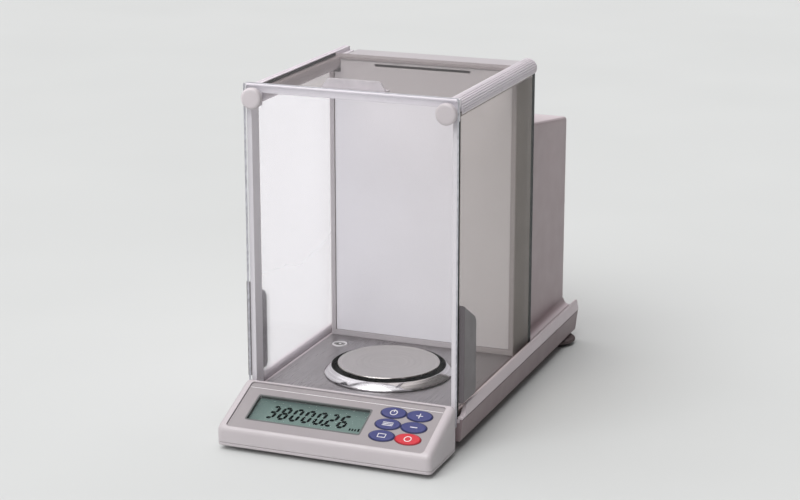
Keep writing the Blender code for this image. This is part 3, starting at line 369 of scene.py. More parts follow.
def winding(name):
    """Enamelled copper wire wound in close turns."""
    t = Tree(name)
    wave = t.add("TexWave", bands_direction="Z")
    t.put(wave.inputs["Vector"], t.coords)
    wave.inputs["Scale"].default_value = 900
    shade = t.mix(wave.outputs["Fac"], (0.20, 0.07, 0.03, 1), (0.75, 0.34, 0.16, 1))
    t.shader(shade, 0.3, t.bump(wave.outputs["Fac"], 0.6, 0.1 * MM), Metallic=1.0)
    return t.mat


def lcd(name):
    """Grey-green liquid crystal with painted shadow towards its top and its left end under the frame, and a
    fine pixel weave.
    """
    t = Tree(name)
    split = t.add("SeparateXYZ")
    t.put(split.inputs[0], t.coords)
    low = PANEL_FOOT.y + WINDOW_UP[0] * math.cos(PANEL_SLOPE)
    high = PANEL_FOOT.y + WINDOW_UP[1] * math.cos(PANEL_SLOPE)
    # Painted shadow: darker towards the top and the left, where the frame's recess shades the crystal.
    up = t.remap(split.outputs[1], low, high)
    shadow = t.remap(up, 0.72, 1.0)
    shade = t.mix(up, srgb(116, 135, 131), srgb(100, 117, 114))
    left = t.remap(split.outputs[0], WINDOW_X[0] + 15 * MM, WINDOW_X[0])
    shadow = t.math("MAXIMUM", shadow, t.math("MULTIPLY", left, 0.8))
    shade = t.mix(t.math("MULTIPLY", shadow, 0.75), shade, srgb(62, 74, 74))
    weave = t.add("TexChecker")
    t.put(weave.inputs["Vector"], t.coords)
    weave.inputs["Scale"].default_value = 2600
    shade = t.mix(0.06, shade, t.mix(weave.outputs["Fac"], (0.1, 0.13, 0.12, 1), (0.5, 0.6, 0.55, 1)))
    shade = t.mix(t.remap(t.noise(30, 2), 0.3, 0.7, 0, 0.12), shade, srgb(110, 134, 130))
    t.shader(shade, t.remap(t.noise(90, 3), 0.3, 0.7, 0.42, 0.52), Specular_IOR_Level=0.25)
    return t.mat


def clear_plastic(
    name,
    tint=(0.97, 0.985, 0.98, 1),
    haze=0.02,
    mirror=0.45,
    veil=(0.6, 0.64, 0.62, 1),
    scratches=0.04,
):
    """Clear plastic, a little scratched; haze is the share of it that veil's colour clouds."""
    t = Tree(name)
    scratch = t.remap(t.noise(1.0, 3, (90, 1400, 90)), 0.64, 0.72)
    clear = t.add("BsdfTransparent")
    clear.inputs[0].default_value = tint
    gloss = t.add("BsdfGlossy")
    t.put(gloss.inputs["Roughness"], t.remap(scratch, 0, 1, 0.06, 0.11))
    sheet = t.blend(t.mirror(mirror), clear.outputs[0], gloss.outputs[0])
    film = t.add("BsdfDiffuse")
    film.inputs[0].default_value = veil
    cloudy = t.remap(t.noise(50, 3), 0.3, 0.7, haze, haze * 1.3)
    share = t.math("ADD", t.math("MULTIPLY", scratch, scratches), cloudy)
    t.put(t.out.inputs[0], t.blend(share, sheet, film.outputs[0]))
    return t.mat


M = {
    "cream": plastic("moulded_cream", srgb(196, 189, 192), 0.34, coat=0.06, shine=0.55),
    "housing": plastic(
        "housing_cream",
        srgb(216, 204, 208),
        0.44,
        grain=2200,
        bump=0.3,
        age=0.06,
        # painted shade on the faces that point left and right
        painted_side_shade=srgb(176, 160, 163),
    ),
    "lower": plastic("lower_case_grey", srgb(148, 132, 135), 0.46, grain=2200, bump=0.3, age=0.06),
    "rim": plastic("deck_cream", srgb(214, 203, 207), 0.42),
    "cream_smooth": plastic("smooth_cream", srgb(230, 225, 231), 0.3, grain=4200, bump=0.12),
    "rail": plastic("rail_cream", srgb(232, 225, 231), 0.32, grain=4200, bump=0.12, age=0.02),
    "post": plastic("post_cream", srgb(228, 224, 228), 0.34, grain=4200, bump=0.12),
    "cap": plastic("cap_cream", srgb(202, 195, 198), 0.36, grain=4200, bump=0.14),
    "column": plastic(
        "column_paint",
        srgb(194, 189, 192),
        0.45,
        grain=3200,
        bump=0.25,
        age=0.04,
        # painted shade on the faces that point left and right
        painted_side_shade=srgb(160, 153, 149),
    ),
    "back": plastic("back_panel_paint", srgb(248, 247, 252), 0.4, grain=3200, bump=0.2, age=0.04),
    "smoke": plastic("smoke_plastic", srgb(104, 98, 101), 0.38, grain=3000, bump=0.12, coat=0.1),
    "panel": plastic("panel_foil", srgb(158, 152, 154), 0.46, grain=5200, bump=0.35, age=0.03, edge=0.3 * MM),
    "white_print": plastic("white_print", srgb(250, 248, 250), 0.5, grain=5200, bump=0.1),
    "blue": plastic("blue_key", srgb(57, 62, 118), 0.42, grain=3600, bump=0.15, coat=0.08),
    "blue_rim": plastic("blue_rim", srgb(52, 54, 90), 0.4, grain=3600, bump=0.1, coat=0.1),
    "red": plastic("red_key", srgb(206, 40, 54), 0.38, grain=3600, bump=0.15, coat=0.1),
    "red_rim": plastic("red_rim", srgb(150, 40, 52), 0.4, grain=3600, bump=0.1, coat=0.1),
    "black": plastic("black_plastic", srgb(40, 37, 37), 0.45, grain=2400, bump=0.25),
    "foot": plastic("foot_brown", srgb(92, 80, 80), 0.5, grain=2400, bump=0.3),
    "ink": plastic("display_ink", srgb(10, 13, 15), 0.6, grain=5200, bump=0.02, shine=0.05),
    "frame": plastic("display_frame", srgb(112, 114, 114), 0.5, grain=5200, bump=0.1, shine=0.2),
    "plate": brushed("brushed_plate", (0.60, 0.60, 0.61, 1), 0.34, (24, 1500, 1500)),
    "alu": brushed("machined_aluminium", (0.72, 0.72, 0.74, 1), 0.34, (900, 900, 60), 0.2),
    "bright": brushed("bright_steel", (0.80, 0.80, 0.82, 1), 0.2, (700, 700, 80), 0.1),
    "iron": brushed("plated_iron", (0.26, 0.26, 0.28, 1), 0.45, (400, 400, 400), 0.3),
    "rubber": rubber("black_rubber"),
    "circuit": circuit("circuit_board"),
    "copper": winding("copper_winding"),
    "lcd": lcd("lcd_glass"),
    "window": clear_plastic("display_window_plastic", haze=0.003, mirror=0.1, scratches=0.006),
    "vial": clear_plastic("level_vial_plastic", haze=0.6, mirror=0.6, veil=(0.22, 0.21, 0.22, 1)),
    "white": plastic("white_plastic", srgb(236, 234, 236), 0.36, grain=4200, bump=0.1),
    "tab": clear_plastic("tab_plastic", (0.93, 0.93, 0.94, 1), 0.5, 0.8, (0.74, 0.70, 0.73, 1)),
}
NODE_LOOK = {
    "cream": "control_head_cover control_head_base",
    "housing": "rear_housing",
    "lower": "lower_case",
    "rim": "upper_cover",
    "cream_smooth": "top_header",
    "rail": "rail_left rail_right rail_rear_cap_left rail_rear_cap_right",
    "post": "front_post_left front_post_right",
    "cap": "front_knob_left front_knob_right",
    "column": "column_shell",
    "back": "chamber_back_panel",
    "smoke": "side_door_handle_left side_door_handle_right weight_lifter",
    "panel": "keypad_panel",
    "tab": "top_door_tab",
    "blue": "key_on_off key_calibrate key_mode key_menu key_print",
    "red": "key_rezero",
    "black": "power_jack lifter_motor",
    "foot": "levelling_screw_left levelling_screw_right",
    "plate": "rear_connector_plate",
    "white": "level_housing",
    "vial": "level_vial",
    "alu": "pan_support cell_frame load_receiver balance_lever serial_port",
    "bright": "upper_guide lower_guide calibration_weight",
    "iron": "head_bracket magnet_pot",
    "rubber": "front_foot_left front_foot_right key_mat levelling_pad_left levelling_pad_right",
    "circuit": "main_board",
    "copper": "force_coil",
    "lcd": "lcd_module",
    "window": "display_window",
}


def dress(node, mat):
    """Gives a CAD node its material in every slot."""
    obj = NODES[node]
    for slot in obj.material_slots:
        slot.material = mat
    if not obj.material_slots:
        obj.data.materials.append(mat)


for look, names in NODE_LOOK.items():
    for node in names.split():
        dress(node, M[look])

PAN_LOW, PAN_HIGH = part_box("weighing_pan")
PAN_CENTRE = ((PAN_LOW + PAN_HIGH) / 2).xy.to_3d()
M["pan"] = spun("spun_pan", (0.66, 0.635, 0.61, 1), 0.14, bump=0.08)
# The draft ring's inner wall, inside 50.4 mm, is painted near-black as shade in the gap under the pan.
M["ring"] = spun("polished_ring", (0.84, 0.83, 0.85, 1), 0.08, 900, 0.04, 50.4 * MM)
# The floor plate is painted near-black inside the draft ring as shade under the pan.
PAN_SHADE_MIDDLE = PAN_CENTRE + Vector((0, 0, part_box("floor_plate")[1].z))
ALONG_Y = (1500, 24, 1500)
FLOOR_SHADE = (0.44, 0.42, 0.43, 1)
M["steel"] = brushed("brushed_floor_steel", FLOOR_SHADE, 0.3, ALONG_Y, shade_well=(PAN_SHADE_MIDDLE, 53 * MM))
dress("floor_plate", M["steel"])
dress("weighing_pan", M["pan"])
dress("draft_ring", M["ring"])
EDGE_GREEN = srgb(58, 66, 64)
EDGE_PALE = srgb(226, 228, 234)
CLEAR = (0.992, 0.992, 0.994, 1)
EDGE_MILKY = srgb(226, 220, 222)
# Grey tints that darken the view through the right and top doors as painted shade.
SHADE_TINT = (0.80, 0.78, 0.76, 1)
LIGHT_SHADE_TINT = (0.84, 0.82, 0.81, 1)
# The left door's strong white veil is painted sheen for the glare on that door, lit by its own lamp below.
dress("side_door_left", pane("left_door_glass", 0, EDGE_PALE, 0.6, (0.24, 0.27), CLEAR))
dress("side_door_right", pane("right_door_glass", 0, EDGE_GREEN, 0.35, (0.005, 0.01), SHADE_TINT))
dress("front_glass", pane("front_glass_sheet", 1, EDGE_PALE, 0.3, (0.004, 0.03), CLEAR))
dress("top_door", pane("top_door_glass", 2, EDGE_GREEN, 0.4, (0.01, 0.01), LIGHT_SHADE_TINT, EDGE_MILKY))


# ---------------------------------------------------------------- pieces


def piece(name, mesh, mat, body, *replaced, slot=None, place=(0, 0, 0), turn=None):
    """Puts a mesh in the scene as a piece of the balance that rides on a CAD body."""
    obj = bpy.data.objects.new(name, mesh)
    obj.location = place
    if turn:
        obj.rotation_euler = turn
    bpy.context.scene.collection.objects.link(obj)
    mesh.materials.clear()
    mesh.materials.append(mat)
    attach(obj, body)
    if replaced:
        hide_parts(*replaced)
    return obj


ON_AXIS = 1e-7


def smooth(mesh, angle=35):
    mesh.shade_smooth()
    mesh.set_sharp_from_angle(angle=math.radians(angle))
    return mesh


def mesh_of(name, build):
    mesh = bpy.data.meshes.new(name)
    shape = bmesh.new()
    build(shape)
    bmesh.ops.recalc_face_normals(shape, faces=shape.faces)
    shape.to_mesh(mesh)
    shape.free()
    return smooth(mesh)


def lathe(name, profile, steps=128, stretch=(1, 1), notch=None):
    """A (radius, height) profile turned about Z; a radius of 0 closes it on the axis.

    notch gives the depth to take off at a radius and a step, for a knurled rim.
    """

    def build(shape):
        rings = []
        for radius, height in profile:
            if radius < ON_AXIS:
                rings.append([shape.verts.new((0, 0, height))] * steps)
                continue
            ring = []
            for step in range(steps):
                angle = 2 * math.pi * step / steps
                reach = radius - notch(radius, step) if notch else radius
                x = reach * math.cos(angle) * stretch[0]
                y = reach * math.sin(angle) * stretch[1]
                ring.append(shape.verts.new((x, y, height)))
            rings.append(ring)
        pairs = list(zip(rings, rings[1:]))
        if profile[0][0] > ON_AXIS and profile[-1][0] > ON_AXIS:
            pairs.append((rings[-1], rings[0]))
        for low, high in pairs:
            for step in range(steps):
                after = (step + 1) % steps
                corners = [low[step], low[after], high[after], high[step]]
                kept = []
                for corner in corners:
                    if corner not in kept:
                        kept.append(corner)
                if len(kept) > 2:
                    shape.faces.new(kept)

    return mesh_of(name, build)


def fillet(points, radii, count=5, closed=True):
    """The polyline with each corner rounded; radii is one number or one per point."""
    if not isinstance(radii, (list, tuple)):
        radii = [radii] * len(points)
    found = []
    total = len(points)
    for i, (spot, radius) in enumerate(zip(points, radii)):
        here = Vector(spot)
        if radius <= 0 or (not closed and i in (0, total - 1)):
            found.append(tuple(here))
            continue
        before = Vector(points[i - 1]) - here
        after = Vector(points[(i + 1) % total]) - here
        reach = min(radius, before.length * 0.49, after.length * 0.49)
        start = here + before.normalized() * reach
        end = here + after.normalized() * reach
        for step in range(count + 1):
            share = step / count
            spot = start.lerp(here, share).lerp(here.lerp(end, share), share)
            found.append(tuple(spot))
    return found


def soften(shape, edges, width, segments):
    """Rounds some edges."""
    bmesh.ops.bevel(shape, geom=edges, offset=width, segments=segments, profile=0.5, affect="EDGES")


def prism(name, points, low, high, facing, bevel=0.0, segments=3):
    """An outline extruded along an axis, with its rims rounded."""

    def place(a, b, depth):
        return {"X": (depth, a, b), "Y": (a, depth, b), "Z": (a, b, depth)}[facing]

    def build(shape):
        near = [shape.verts.new(place(a, b, low)) for a, b in points]
        far = [shape.verts.new(place(a, b, high)) for a, b in points]
        ends = [shape.faces.new(near), shape.faces.new(list(reversed(far)))]
        count = len(points)
        for i in range(count):
            shape.faces.new((near[i], near[(i + 1) % count], far[(i + 1) % count], far[i]))
        if bevel:
            soften(shape, list({edge for face in ends for edge in face.edges}), bevel, segments)

    return mesh_of(name, build)


def block(name, low, high, bevel=0.0, segments=3):
    """A box between two corners, with its edges rounded."""

    def build(shape):
        bmesh.ops.create_cube(shape, size=1)
        size = Vector(high) - Vector(low)
        bmesh.ops.scale(shape, vec=size, verts=shape.verts)
        bmesh.ops.translate(shape, vec=(Vector(high) + Vector(low)) / 2, verts=shape.verts)
        if bevel:
            soften(shape, shape.edges[:], bevel, segments)

    return mesh_of(name, build)


def joined(name, meshes):
    """One mesh out of several, each given with a matrix."""
    shape = bmesh.new()
    for mesh, matrix in meshes:
        start = len(shape.verts)
        shape.from_mesh(mesh)
        shape.verts.ensure_lookup_table()
        bmesh.ops.transform(shape, matrix=matrix, verts=shape.verts[start:])
    made = bpy.data.meshes.new(name)
    shape.to_mesh(made)
    shape.free()
    return smooth(made)


def millimetres(profile):
    """A profile written in millimetres, in the scene's metres."""
    return [(radius * MM, height * MM) for radius, height in profile]


# ---------------------------------------------------------------- rails and caps


def rail_outline(sign):
    """The rail's section: shallow round flutes, the door's slot below and the glass ledge inside."""
    flutes = 26
    slot = ((4.1 * MM, -1.8 * MM), (7.3 * MM, -1.8 * MM))

    def at(degrees, fluted=True):
        phase = math.radians(degrees)
        wave = max(0.0, math.cos(flutes * phase)) ** 0.8
        plain = 285 < degrees % 360 < 342 or 104 < degrees % 360 < 168
        reach = RAIL_RADIUS - (0 if plain else 0.7 * MM * wave)
        return reach * math.cos(phase), reach * math.sin(phase)

    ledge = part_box("top_door")[0].z - 0.4 * MM - RAIL_Z
    points = [(-3.1 * MM, ledge)]
    degrees = 180.4 - math.degrees(math.asin(ledge / RAIL_RADIUS))
    while degrees < 298.8:
        points.append(at(degrees))
        degrees += 1.6
    points += [at(298.8), slot[0], slot[1], at(329.2)]
    degrees = 330.6
    while degrees < 360 + 111.4:
        points.append(at(degrees))
        degrees += 1.6
    points.append(at(471.4))
    return [(sign * (RAIL_X + x), RAIL_Z + z) for x, z in points]


for side, sign in (("left", -1), ("right", 1)):
    low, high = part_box("rail_" + side)
    mesh = prism("rail_" + side, rail_outline(sign), low.y, high.y, "Y", 0.15 * MM, 2)
    piece("fluted_rail_" + side, mesh, M["rail"], "base", "rail_" + side, slot="cream_plastic")

KNOB_DEPTH = 5 * MM
for side in ("left", "right"):
    low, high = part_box("front_knob_" + side)
    middle = (low + high) / 2
    stud = KNOB_DEPTH - (high.y - low.y) + 0.05 * MM
    profile = [
        (0, 4.9), (6.2, 4.95), (6.9, 4.88), (7.6, 4.68), (8.3, 4.3), (8.75, 3.85), (8.92, 3.45),
        (8.92, 2.9), (8.75, 2.6), (8.3, 2.4), (8.15, 2.2), (8.15, 1.75), (8.3, 1.55), (8.75, 1.3),
        (8.92, 1.05), (8.92, 0.4), (8.75, 0.12), (8.5, 0.05), (2.1, 0.05), (2.1, stud / MM), (0, stud / MM),
    ]  # fmt: skip
    piece(
        "ringed_front_knob_" + side,
        lathe("front_knob_" + side, millimetres(profile), 96),
        M["cap"],
        "base",
        "front_knob_" + side,
        slot="cream_plastic",
        place=(middle.x, low.y + KNOB_DEPTH, middle.z),
        turn=(math.pi / 2, 0, 0),
    )


# ---------------------------------------------------------------- weighing pan and ring


pan_profile = [
    (0, 42.2), (42.6, 42.2), (43.2, 42.28), (43.7, 42.5), (44.1, 42.65), (44.5, 42.6), (44.8, 42.3),
    (44.95, 41.8), (44.9, 41.2), (44.6, 40.8), (44.2, 40.72), (43.6, 40.9), (43.0, 41.15), (42.4, 41.2),
    (0, 41.2),
]  # fmt: skip
piece(
    "spun_weighing_pan",
    lathe("pan", millimetres(pan_profile), 192),
    M["pan"],
    "weighing_pan",
    "weighing_pan",
    slot="polished_steel",
    place=PAN_CENTRE,
)
ring_profile = [
    (49.9, 40.36), (50.3, 40.3), (50.9, 39.85), (56.6, 35.45), (56.85, 35.1), (56.95, 34.6), (56.9, 34.1),
    (56.6, 33.95), (55.6, 33.95), (55.2, 34.1), (50.65, 37.6), (50.5, 35.8), (50.3, 35.55), (49.7, 35.55),
    (49.5, 35.8), (49.45, 39.9), (49.6, 40.25),
]  # fmt: skip
piece(
    "polished_draft_ring",
    lathe("ring", millimetres(ring_profile), 192),
    M["ring"],
    "draft_ring",
    "draft_ring",
    slot="polished_steel",
    place=PAN_CENTRE,
)


# ---------------------------------------------------------------- control head


def on_panel(x, up, out):
    """A point given across the panel, up its slope and out of its face."""
    return PANEL_FOOT + Vector(
        (
            x,
            up * math.cos(PANEL_SLOPE) - out * math.sin(PANEL_SLOPE),
            up * math.sin(PANEL_SLOPE) + out * math.cos(PANEL_SLOPE),
        )
    )


def on_head(name, mesh, mat, x, up, out, body="base", *replaced, slot=None):
    """A piece that lies on the sloping panel."""
    place = on_panel(x, up, out)
    return piece(name, mesh, mat, body, *replaced, slot=slot, place=place, turn=(PANEL_SLOPE, 0, 0))


def key_symbol(kind):
    """A small generic mark for a key, in millimetres about its middle."""
    ring = [(2.5, 0.0), (3.3, 0.0), (3.3, 0.12), (2.5, 0.12)]
    flat = {
        "power": [((-0.4, 0.6), (0.4, 4.0))],
        "bars": [((-4.6, 1.3), (4.6, 2.1)), ((-4.6, -0.4), (4.6, 0.4)), ((-4.6, -2.1), (4.6, -1.3))],
        "plus": [((-3.0, -0.4), (3.0, 0.4)), ((-0.4, -3.0), (0.4, 3.0))],
        "minus": [((-3.2, -0.45), (3.2, 0.45))],
        "page": [
            ((-3.6, -2.4), (3.6, -1.7)),
            ((-3.6, 1.7), (3.6, 2.4)),
            ((-3.6, -1.7), (-2.9, 1.7)),
            ((2.9, -1.7), (3.6, 1.7)),
        ],
        "zero": [],
    }[kind]
    parts = []
    for (x1, y1), (x2, y2) in flat:
        mesh = block("bar", (x1 * MM, y1 * MM, 0), (x2 * MM, y2 * MM, 0.12 * MM), 0.02 * MM, 1)
        parts.append((mesh, Matrix.Identity(4)))
    if kind in ("power", "zero"):
        parts.append((lathe("loop", millimetres(ring), 40), Matrix.Identity(4)))
    return joined("key_symbol_" + kind, parts)


KEYS = {
    "key_on_off": (46.7, 43.0, "power"),
    "key_calibrate": (69.5, 43.0, "plus"),
    "key_mode": (46.7, 28.6, "bars"),
    "key_menu": (69.5, 28.6, "minus"),
    "key_print": (46.7, 14.1, "page"),
    "key_rezero": (69.5, 14.1, "zero"),
}
for name, (x, up, kind) in KEYS.items():
    x *= MM
    up *= MM
    red = name == "key_rezero"
    flat = KEY_SIZE[1] / KEY_SIZE[0]
    profile = [
        (0, 0.72), (5.0, 0.74), (7.6, 0.80), (9.0, 0.92), (9.6, 1.02), (10.0, 1.06), (10.35, 0.98),
        (10.62, 0.78), (10.74, 0.45), (10.78, 0.0), (10.78, -6.2), (10.6, -6.35), (0, -6.35),
    ]  # fmt: skip
    mesh = lathe(name + "_cap", millimetres(profile), 96, (1, flat))
    slot = "key_red" if red else "key_blue"
    on_head(name + "_cap", mesh, M["red" if red else "blue"], x, up, 0, name, name, slot=slot)
    rim = [
        (10.92, -0.5), (10.92, 0.25), (11.07, 0.5), (11.29, 0.55), (11.57, 0.42), (11.72, 0.1), (11.72, -0.5),
    ]  # fmt: skip
    rim_flat = (KEY_SIZE[1] + 0.6 * MM) / (KEY_SIZE[0] + 0.6 * MM) * 1.008
    mesh = lathe(name + "_rim", millimetres(rim), 96, (1, rim_flat))
    on_head(name + "_rim", mesh, M["red_rim" if red else "blue_rim"], x, up, 0, "base", slot=slot)
    on_head(name + "_mark", key_symbol(kind), M["white_print"], x, up, 0.69 * MM, name, slot="cream_plastic")

line = block("panel_line", (-87.2 * MM, -0.28 * MM, -0.02 * MM), (87.2 * MM, 0.28 * MM, 0.05 * MM))
on_head("panel_line", line, M["white_print"], 0, 51.4 * MM, 0, slot="cream_plastic")

frame_low = (WINDOW_X[0] - 1.3 * MM, WINDOW_UP[0] - 1.3 * MM)
frame_high = (WINDOW_X[1] + 1.3 * MM, WINDOW_UP[1] + 1.3 * MM)


def frame_mesh(name, low, high, width, depth, radius):
    """A rounded rectangular frame lying in the panel's plane."""

    def corners(inset):
        box = [
            (low[0] + inset, low[1] + inset), (high[0] - inset, low[1] + inset),
            (high[0] - inset, high[1] - inset), (low[0] + inset, high[1] - inset),
        ]  # fmt: skip
        return fillet(box, max(radius - inset, 0.2 * MM), 5)

    def build(shape):
        rows = [
            (0, -0.3 * MM), (0, depth * 0.6), (0.15 * MM, depth), (width, depth), (width, -2.3 * MM),
        ]  # fmt: skip
        loops = []
        for inset, height in rows:
            loops.append([shape.verts.new((a, b, height)) for a, b in corners(inset)])
        count = len(loops[0])
        for near, far in zip(loops, loops[1:] + loops[:1]):
            for i in range(count):
                shape.faces.new((near[i], near[(i + 1) % count], far[(i + 1) % count], far[i]))

    return mesh_of(name, build)


mesh = frame_mesh("window_frame", frame_low, frame_high, 1.45 * MM, 0.12 * MM, 2.4 * MM)
on_head("display_frame", mesh, M["frame"], 0, 0, 0.0, slot="black_plastic")


# Seven-segment numbers on the display

LCD_TOP = -2.38 * MM
INK_HEIGHT = 0.08 * MM
SEGMENTS = {
    "0": "abcdef", "1": "bc", "2": "abged", "3": "abgcd", "4": "fgbc",
    "5": "afgcd", "6": "afgedc", "7": "abc", "8": "abcdefg", "9": "abcdfg",
}  # fmt: skip


def digit_outlines(width, height, thick):
    """Each segment as a closed outline, with the digit's lower left corner at the origin."""
    t = thick
    g = thick * 0.07
    mid = height / 2

    def flat(y):
        left, right = t + g, width - t - g
        return [
            (t * 0.6 + g, y), (left, y + t / 2), (right, y + t / 2),
            (width - t * 0.6 - g, y), (right, y - t / 2), (left, y - t / 2),
        ]  # fmt: skip

    def upright(x, low, high):
        foot, head = low + t / 2 + g, high - t / 2 - g
        return [
            (x, low + g), (x + t / 2, foot), (x + t / 2, head),
            (x, high - g), (x - t / 2, head), (x - t / 2, foot),
        ]  # fmt: skip

    return {
        "a": flat(height - t / 2), "g": flat(mid), "d": flat(t / 2),
        "f": upright(t / 2, mid, height - t / 2), "b": upright(width - t / 2, mid, height - t / 2),
        "e": upright(t / 2, t / 2, mid), "c": upright(width - t / 2, t / 2, mid),
    }  # fmt: skip


def readout(text, width, height, thick, pitch, lean):
    """A row of seven-segment digits as thin raised shapes, leaning to the right."""
    shape = bmesh.new()
    x = 0.0
    shapes = digit_outlines(width, height, thick)
    for mark in text:
        if mark == ".":
            start = x - pitch + width + 0.25 * thick
            outlines = [[(start, 0), (start + thick, 0), (start + thick, thick), (start, thick)]]
        else:
            outlines = [[(x + a, b) for a, b in shapes[s]] for s in SEGMENTS[mark]]
            x += pitch
        for outline in outlines:
            face = shape.faces.new([shape.verts.new((a + b * lean, b, 0)) for a, b in outline])
            grown = bmesh.ops.extrude_face_region(shape, geom=[face])
            raised = [v for v in grown["geom"] if isinstance(v, bmesh.types.BMVert)]
            bmesh.ops.translate(shape, vec=(0, 0, INK_HEIGHT), verts=raised)
    bmesh.ops.recalc_face_normals(shape, faces=shape.faces)
    mesh = bpy.data.meshes.new("readout")
    shape.to_mesh(mesh)
    shape.free()
    return mesh


numbers = readout("38000.26", 8.2 * MM, 16.4 * MM, 2.6 * MM, 10.7 * MM, 0.2)
on_head("display_numbers", numbers, M["ink"], -62 * MM, 18.5 * MM, LCD_TOP, slot="black_plastic")
bars = [
    (block("unit_bar", (x * MM, 0, 0), ((x + 1.4) * MM, high * MM, INK_HEIGHT)), Matrix.Identity(4))
    for x, high in ((0, 2.6), (2.4, 2.6), (4.8, 2.6), (7.6, 3.6))
]
unit = joined("display_unit_bars", bars)
on_head("display_unit_bars", unit, M["ink"], 15.5 * MM, 17.6 * MM, LCD_TOP, slot="black_plastic")


# ---------------------------------------------------------------- bubble level

low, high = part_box("level_housing")
centre = ((low + high) / 2).xy.to_3d()
housing_profile = [
    (5.6, 34.0), (5.75, 34.3), (6.2, 34.45), (6.7, 34.3), (6.95, 33.9), (6.98, 33.2), (6.98, 25.2),
    (6.7, 25.02), (0, 25.02), (0, 27), (5.6, 27),
]  # fmt: skip
spirit = Tree("level_spirit")
spirit.shader(
    spirit.mix(spirit.remap(spirit.noise(120, 2), 0.3, 0.7), (0.13, 0.13, 0.125, 1), (0.16, 0.16, 0.15, 1)),
    spirit.remap(spirit.noise(300, 2), 0.3, 0.7, 0.05, 0.12),
    Coat_Weight=0.6,
)
vial_profile = [(0, 34.2), (2.5, 34.12), (4.2, 33.9), (5.4, 33.5), (5.5, 33.3), (5.5, 27.3), (0, 27.3)]
circle_profile = [(1.9, 34.15), (2.0, 34.28), (2.25, 34.28), (2.3, 34.12)]
bubble_profile = [(0, 34.38), (0.8, 34.34), (1.3, 34.26), (1.55, 34.16), (0, 34.12)]
off_centre = Vector((0.4 * MM, 0.2 * MM, 0))


def level_piece(name, profile, steps, mat, slot, *replaced, offset=Vector()):
    """A turned piece of the spirit level."""
    mesh = lathe(name, millimetres(profile), steps)
    piece(name, mesh, mat, "base", *replaced, slot=slot, place=centre + offset)


level_piece("level_ring", housing_profile, 72, M["white"], "aluminium", "level_housing")
level_piece("level_dome", vial_profile, 64, spirit.mat, "clear_plastic", "level_vial")
level_piece("level_circle", circle_profile, 48, M["ink"], "black_plastic")
level_piece("level_bubble", bubble_profile, 40, M["white_print"], "clear_plastic", offset=off_centre)


# ---------------------------------------------------------------- feet


DISC_RADIUS = 17 * MM
screw_profile = [
    (0, 24), (2.6, 24), (3, 23.6), (3, 7.7), (13.6, 7.7), (15.4, 7.3), (DISC_RADIUS / MM, 6),
    (DISC_RADIUS / MM, 4.1), (16.2, 3.1), (15.4, 2.9), (0, 2.9),
]  # fmt: skip


def knurl(radius, step):
    """A shallow notch in every fifth part of the disc's rim."""
    on_rim = abs(radius - DISC_RADIUS) < ON_AXIS
    return 0.45 * MM if on_rim and step % 5 in (0, 1) else 0


for side in ("left", "right"):
    name = "levelling_screw_" + side
    low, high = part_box(name)
    centre = ((low + high) / 2).xy.to_3d()
    mesh = lathe("knurled_" + side, millimetres(screw_profile), 180, notch=knurl)
    piece("knurled_screw_" + side, mesh, M["foot"], name, name, slot="black_plastic", place=centre)


# ---------------------------------------------------------------- rear fittings


def cross_screw(name, radius):
    """A pan-head screw with a cross recess, its head towards +Z."""
    r = radius / MM
    head = [(0, 0.62), (r * 0.45, 0.58), (r * 0.8, 0.42), (r * 0.97, 0.18), (r, 0.0), (0, 0.0)]
    body = lathe(name + "_head", millimetres(head), 40)
    a = r * 0.62 * MM
    b = r * 0.12 * MM
    one = block(name + "_a", (-a, -b, 0.4 * MM), (a, b, 0.66 * MM))
    two = block(name + "_b", (-b, -a, 0.4 * MM), (b, a, 0.66 * MM))
    return body, joined(name + "_cross", [(one, Matrix.Identity(4)), (two, Matrix.Identity(4))])


PLATE_LOW, PLATE_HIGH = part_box("rear_connector_plate")
facing_rear = Matrix.Rotation(-math.pi / 2, 4, "X")
heads = []
crosses = []
head_mesh, cross_mesh = cross_screw("plate_screw", 2.4 * MM)
for x in (PLATE_LOW.x + 5 * MM, PLATE_HIGH.x - 5 * MM):
    for z in (PLATE_LOW.z + 5 * MM, PLATE_HIGH.z - 5 * MM):
        spot = Matrix.Translation((x, PLATE_HIGH.y, z)) @ facing_rear
        heads.append((head_mesh, spot))
        crosses.append((cross_mesh, spot))
piece("plate_screws", joined("plate_screws", heads), M["bright"], "base", slot="polished_steel")
piece("plate_screw_slots", joined("plate_screw_slots", crosses), M["black"], "base", slot="black_plastic")

pin = lathe("pin", millimetres([(0, 0.9), (0.4, 0.7), (0.42, 0), (0, 0)]), 16)
pins = []
for row, count in ((0, 13), (1, 12)):
    z = 61.4 * MM - row * 2.8 * MM
    for i in range(count):
        x = 24 * MM + (i - (count - 1) / 2) * 2.7 * MM
        spot = Matrix.Translation((x, PLATE_HIGH.y - 4 * MM, z))
        pins.append((pin, spot @ facing_rear))
piece("port_pins", joined("port_pins", pins), M["bright"], "base", slot="polished_steel")


# ---------------------------------------------------------------- floor, light, camera


def stage_floor():
    t = Tree("studio_floor")
    shade = t.mix(t.remap(t.noise(3, 2), 0.3, 0.7), (0.612, 0.629, 0.621, 1), (0.632, 0.649, 0.641, 1))
    t.shader(shade, 0.9)

    def build(shape):
        bmesh.ops.create_grid(shape, x_segments=1, y_segments=1, size=8)

    mesh = mesh_of("studio_floor", build)
    obj = bpy.data.objects.new("studio_floor", mesh)
    mesh.materials.append(t.mat)
    bpy.context.scene.collection.objects.link(obj)
    obj.location.z = -0.2 * MM


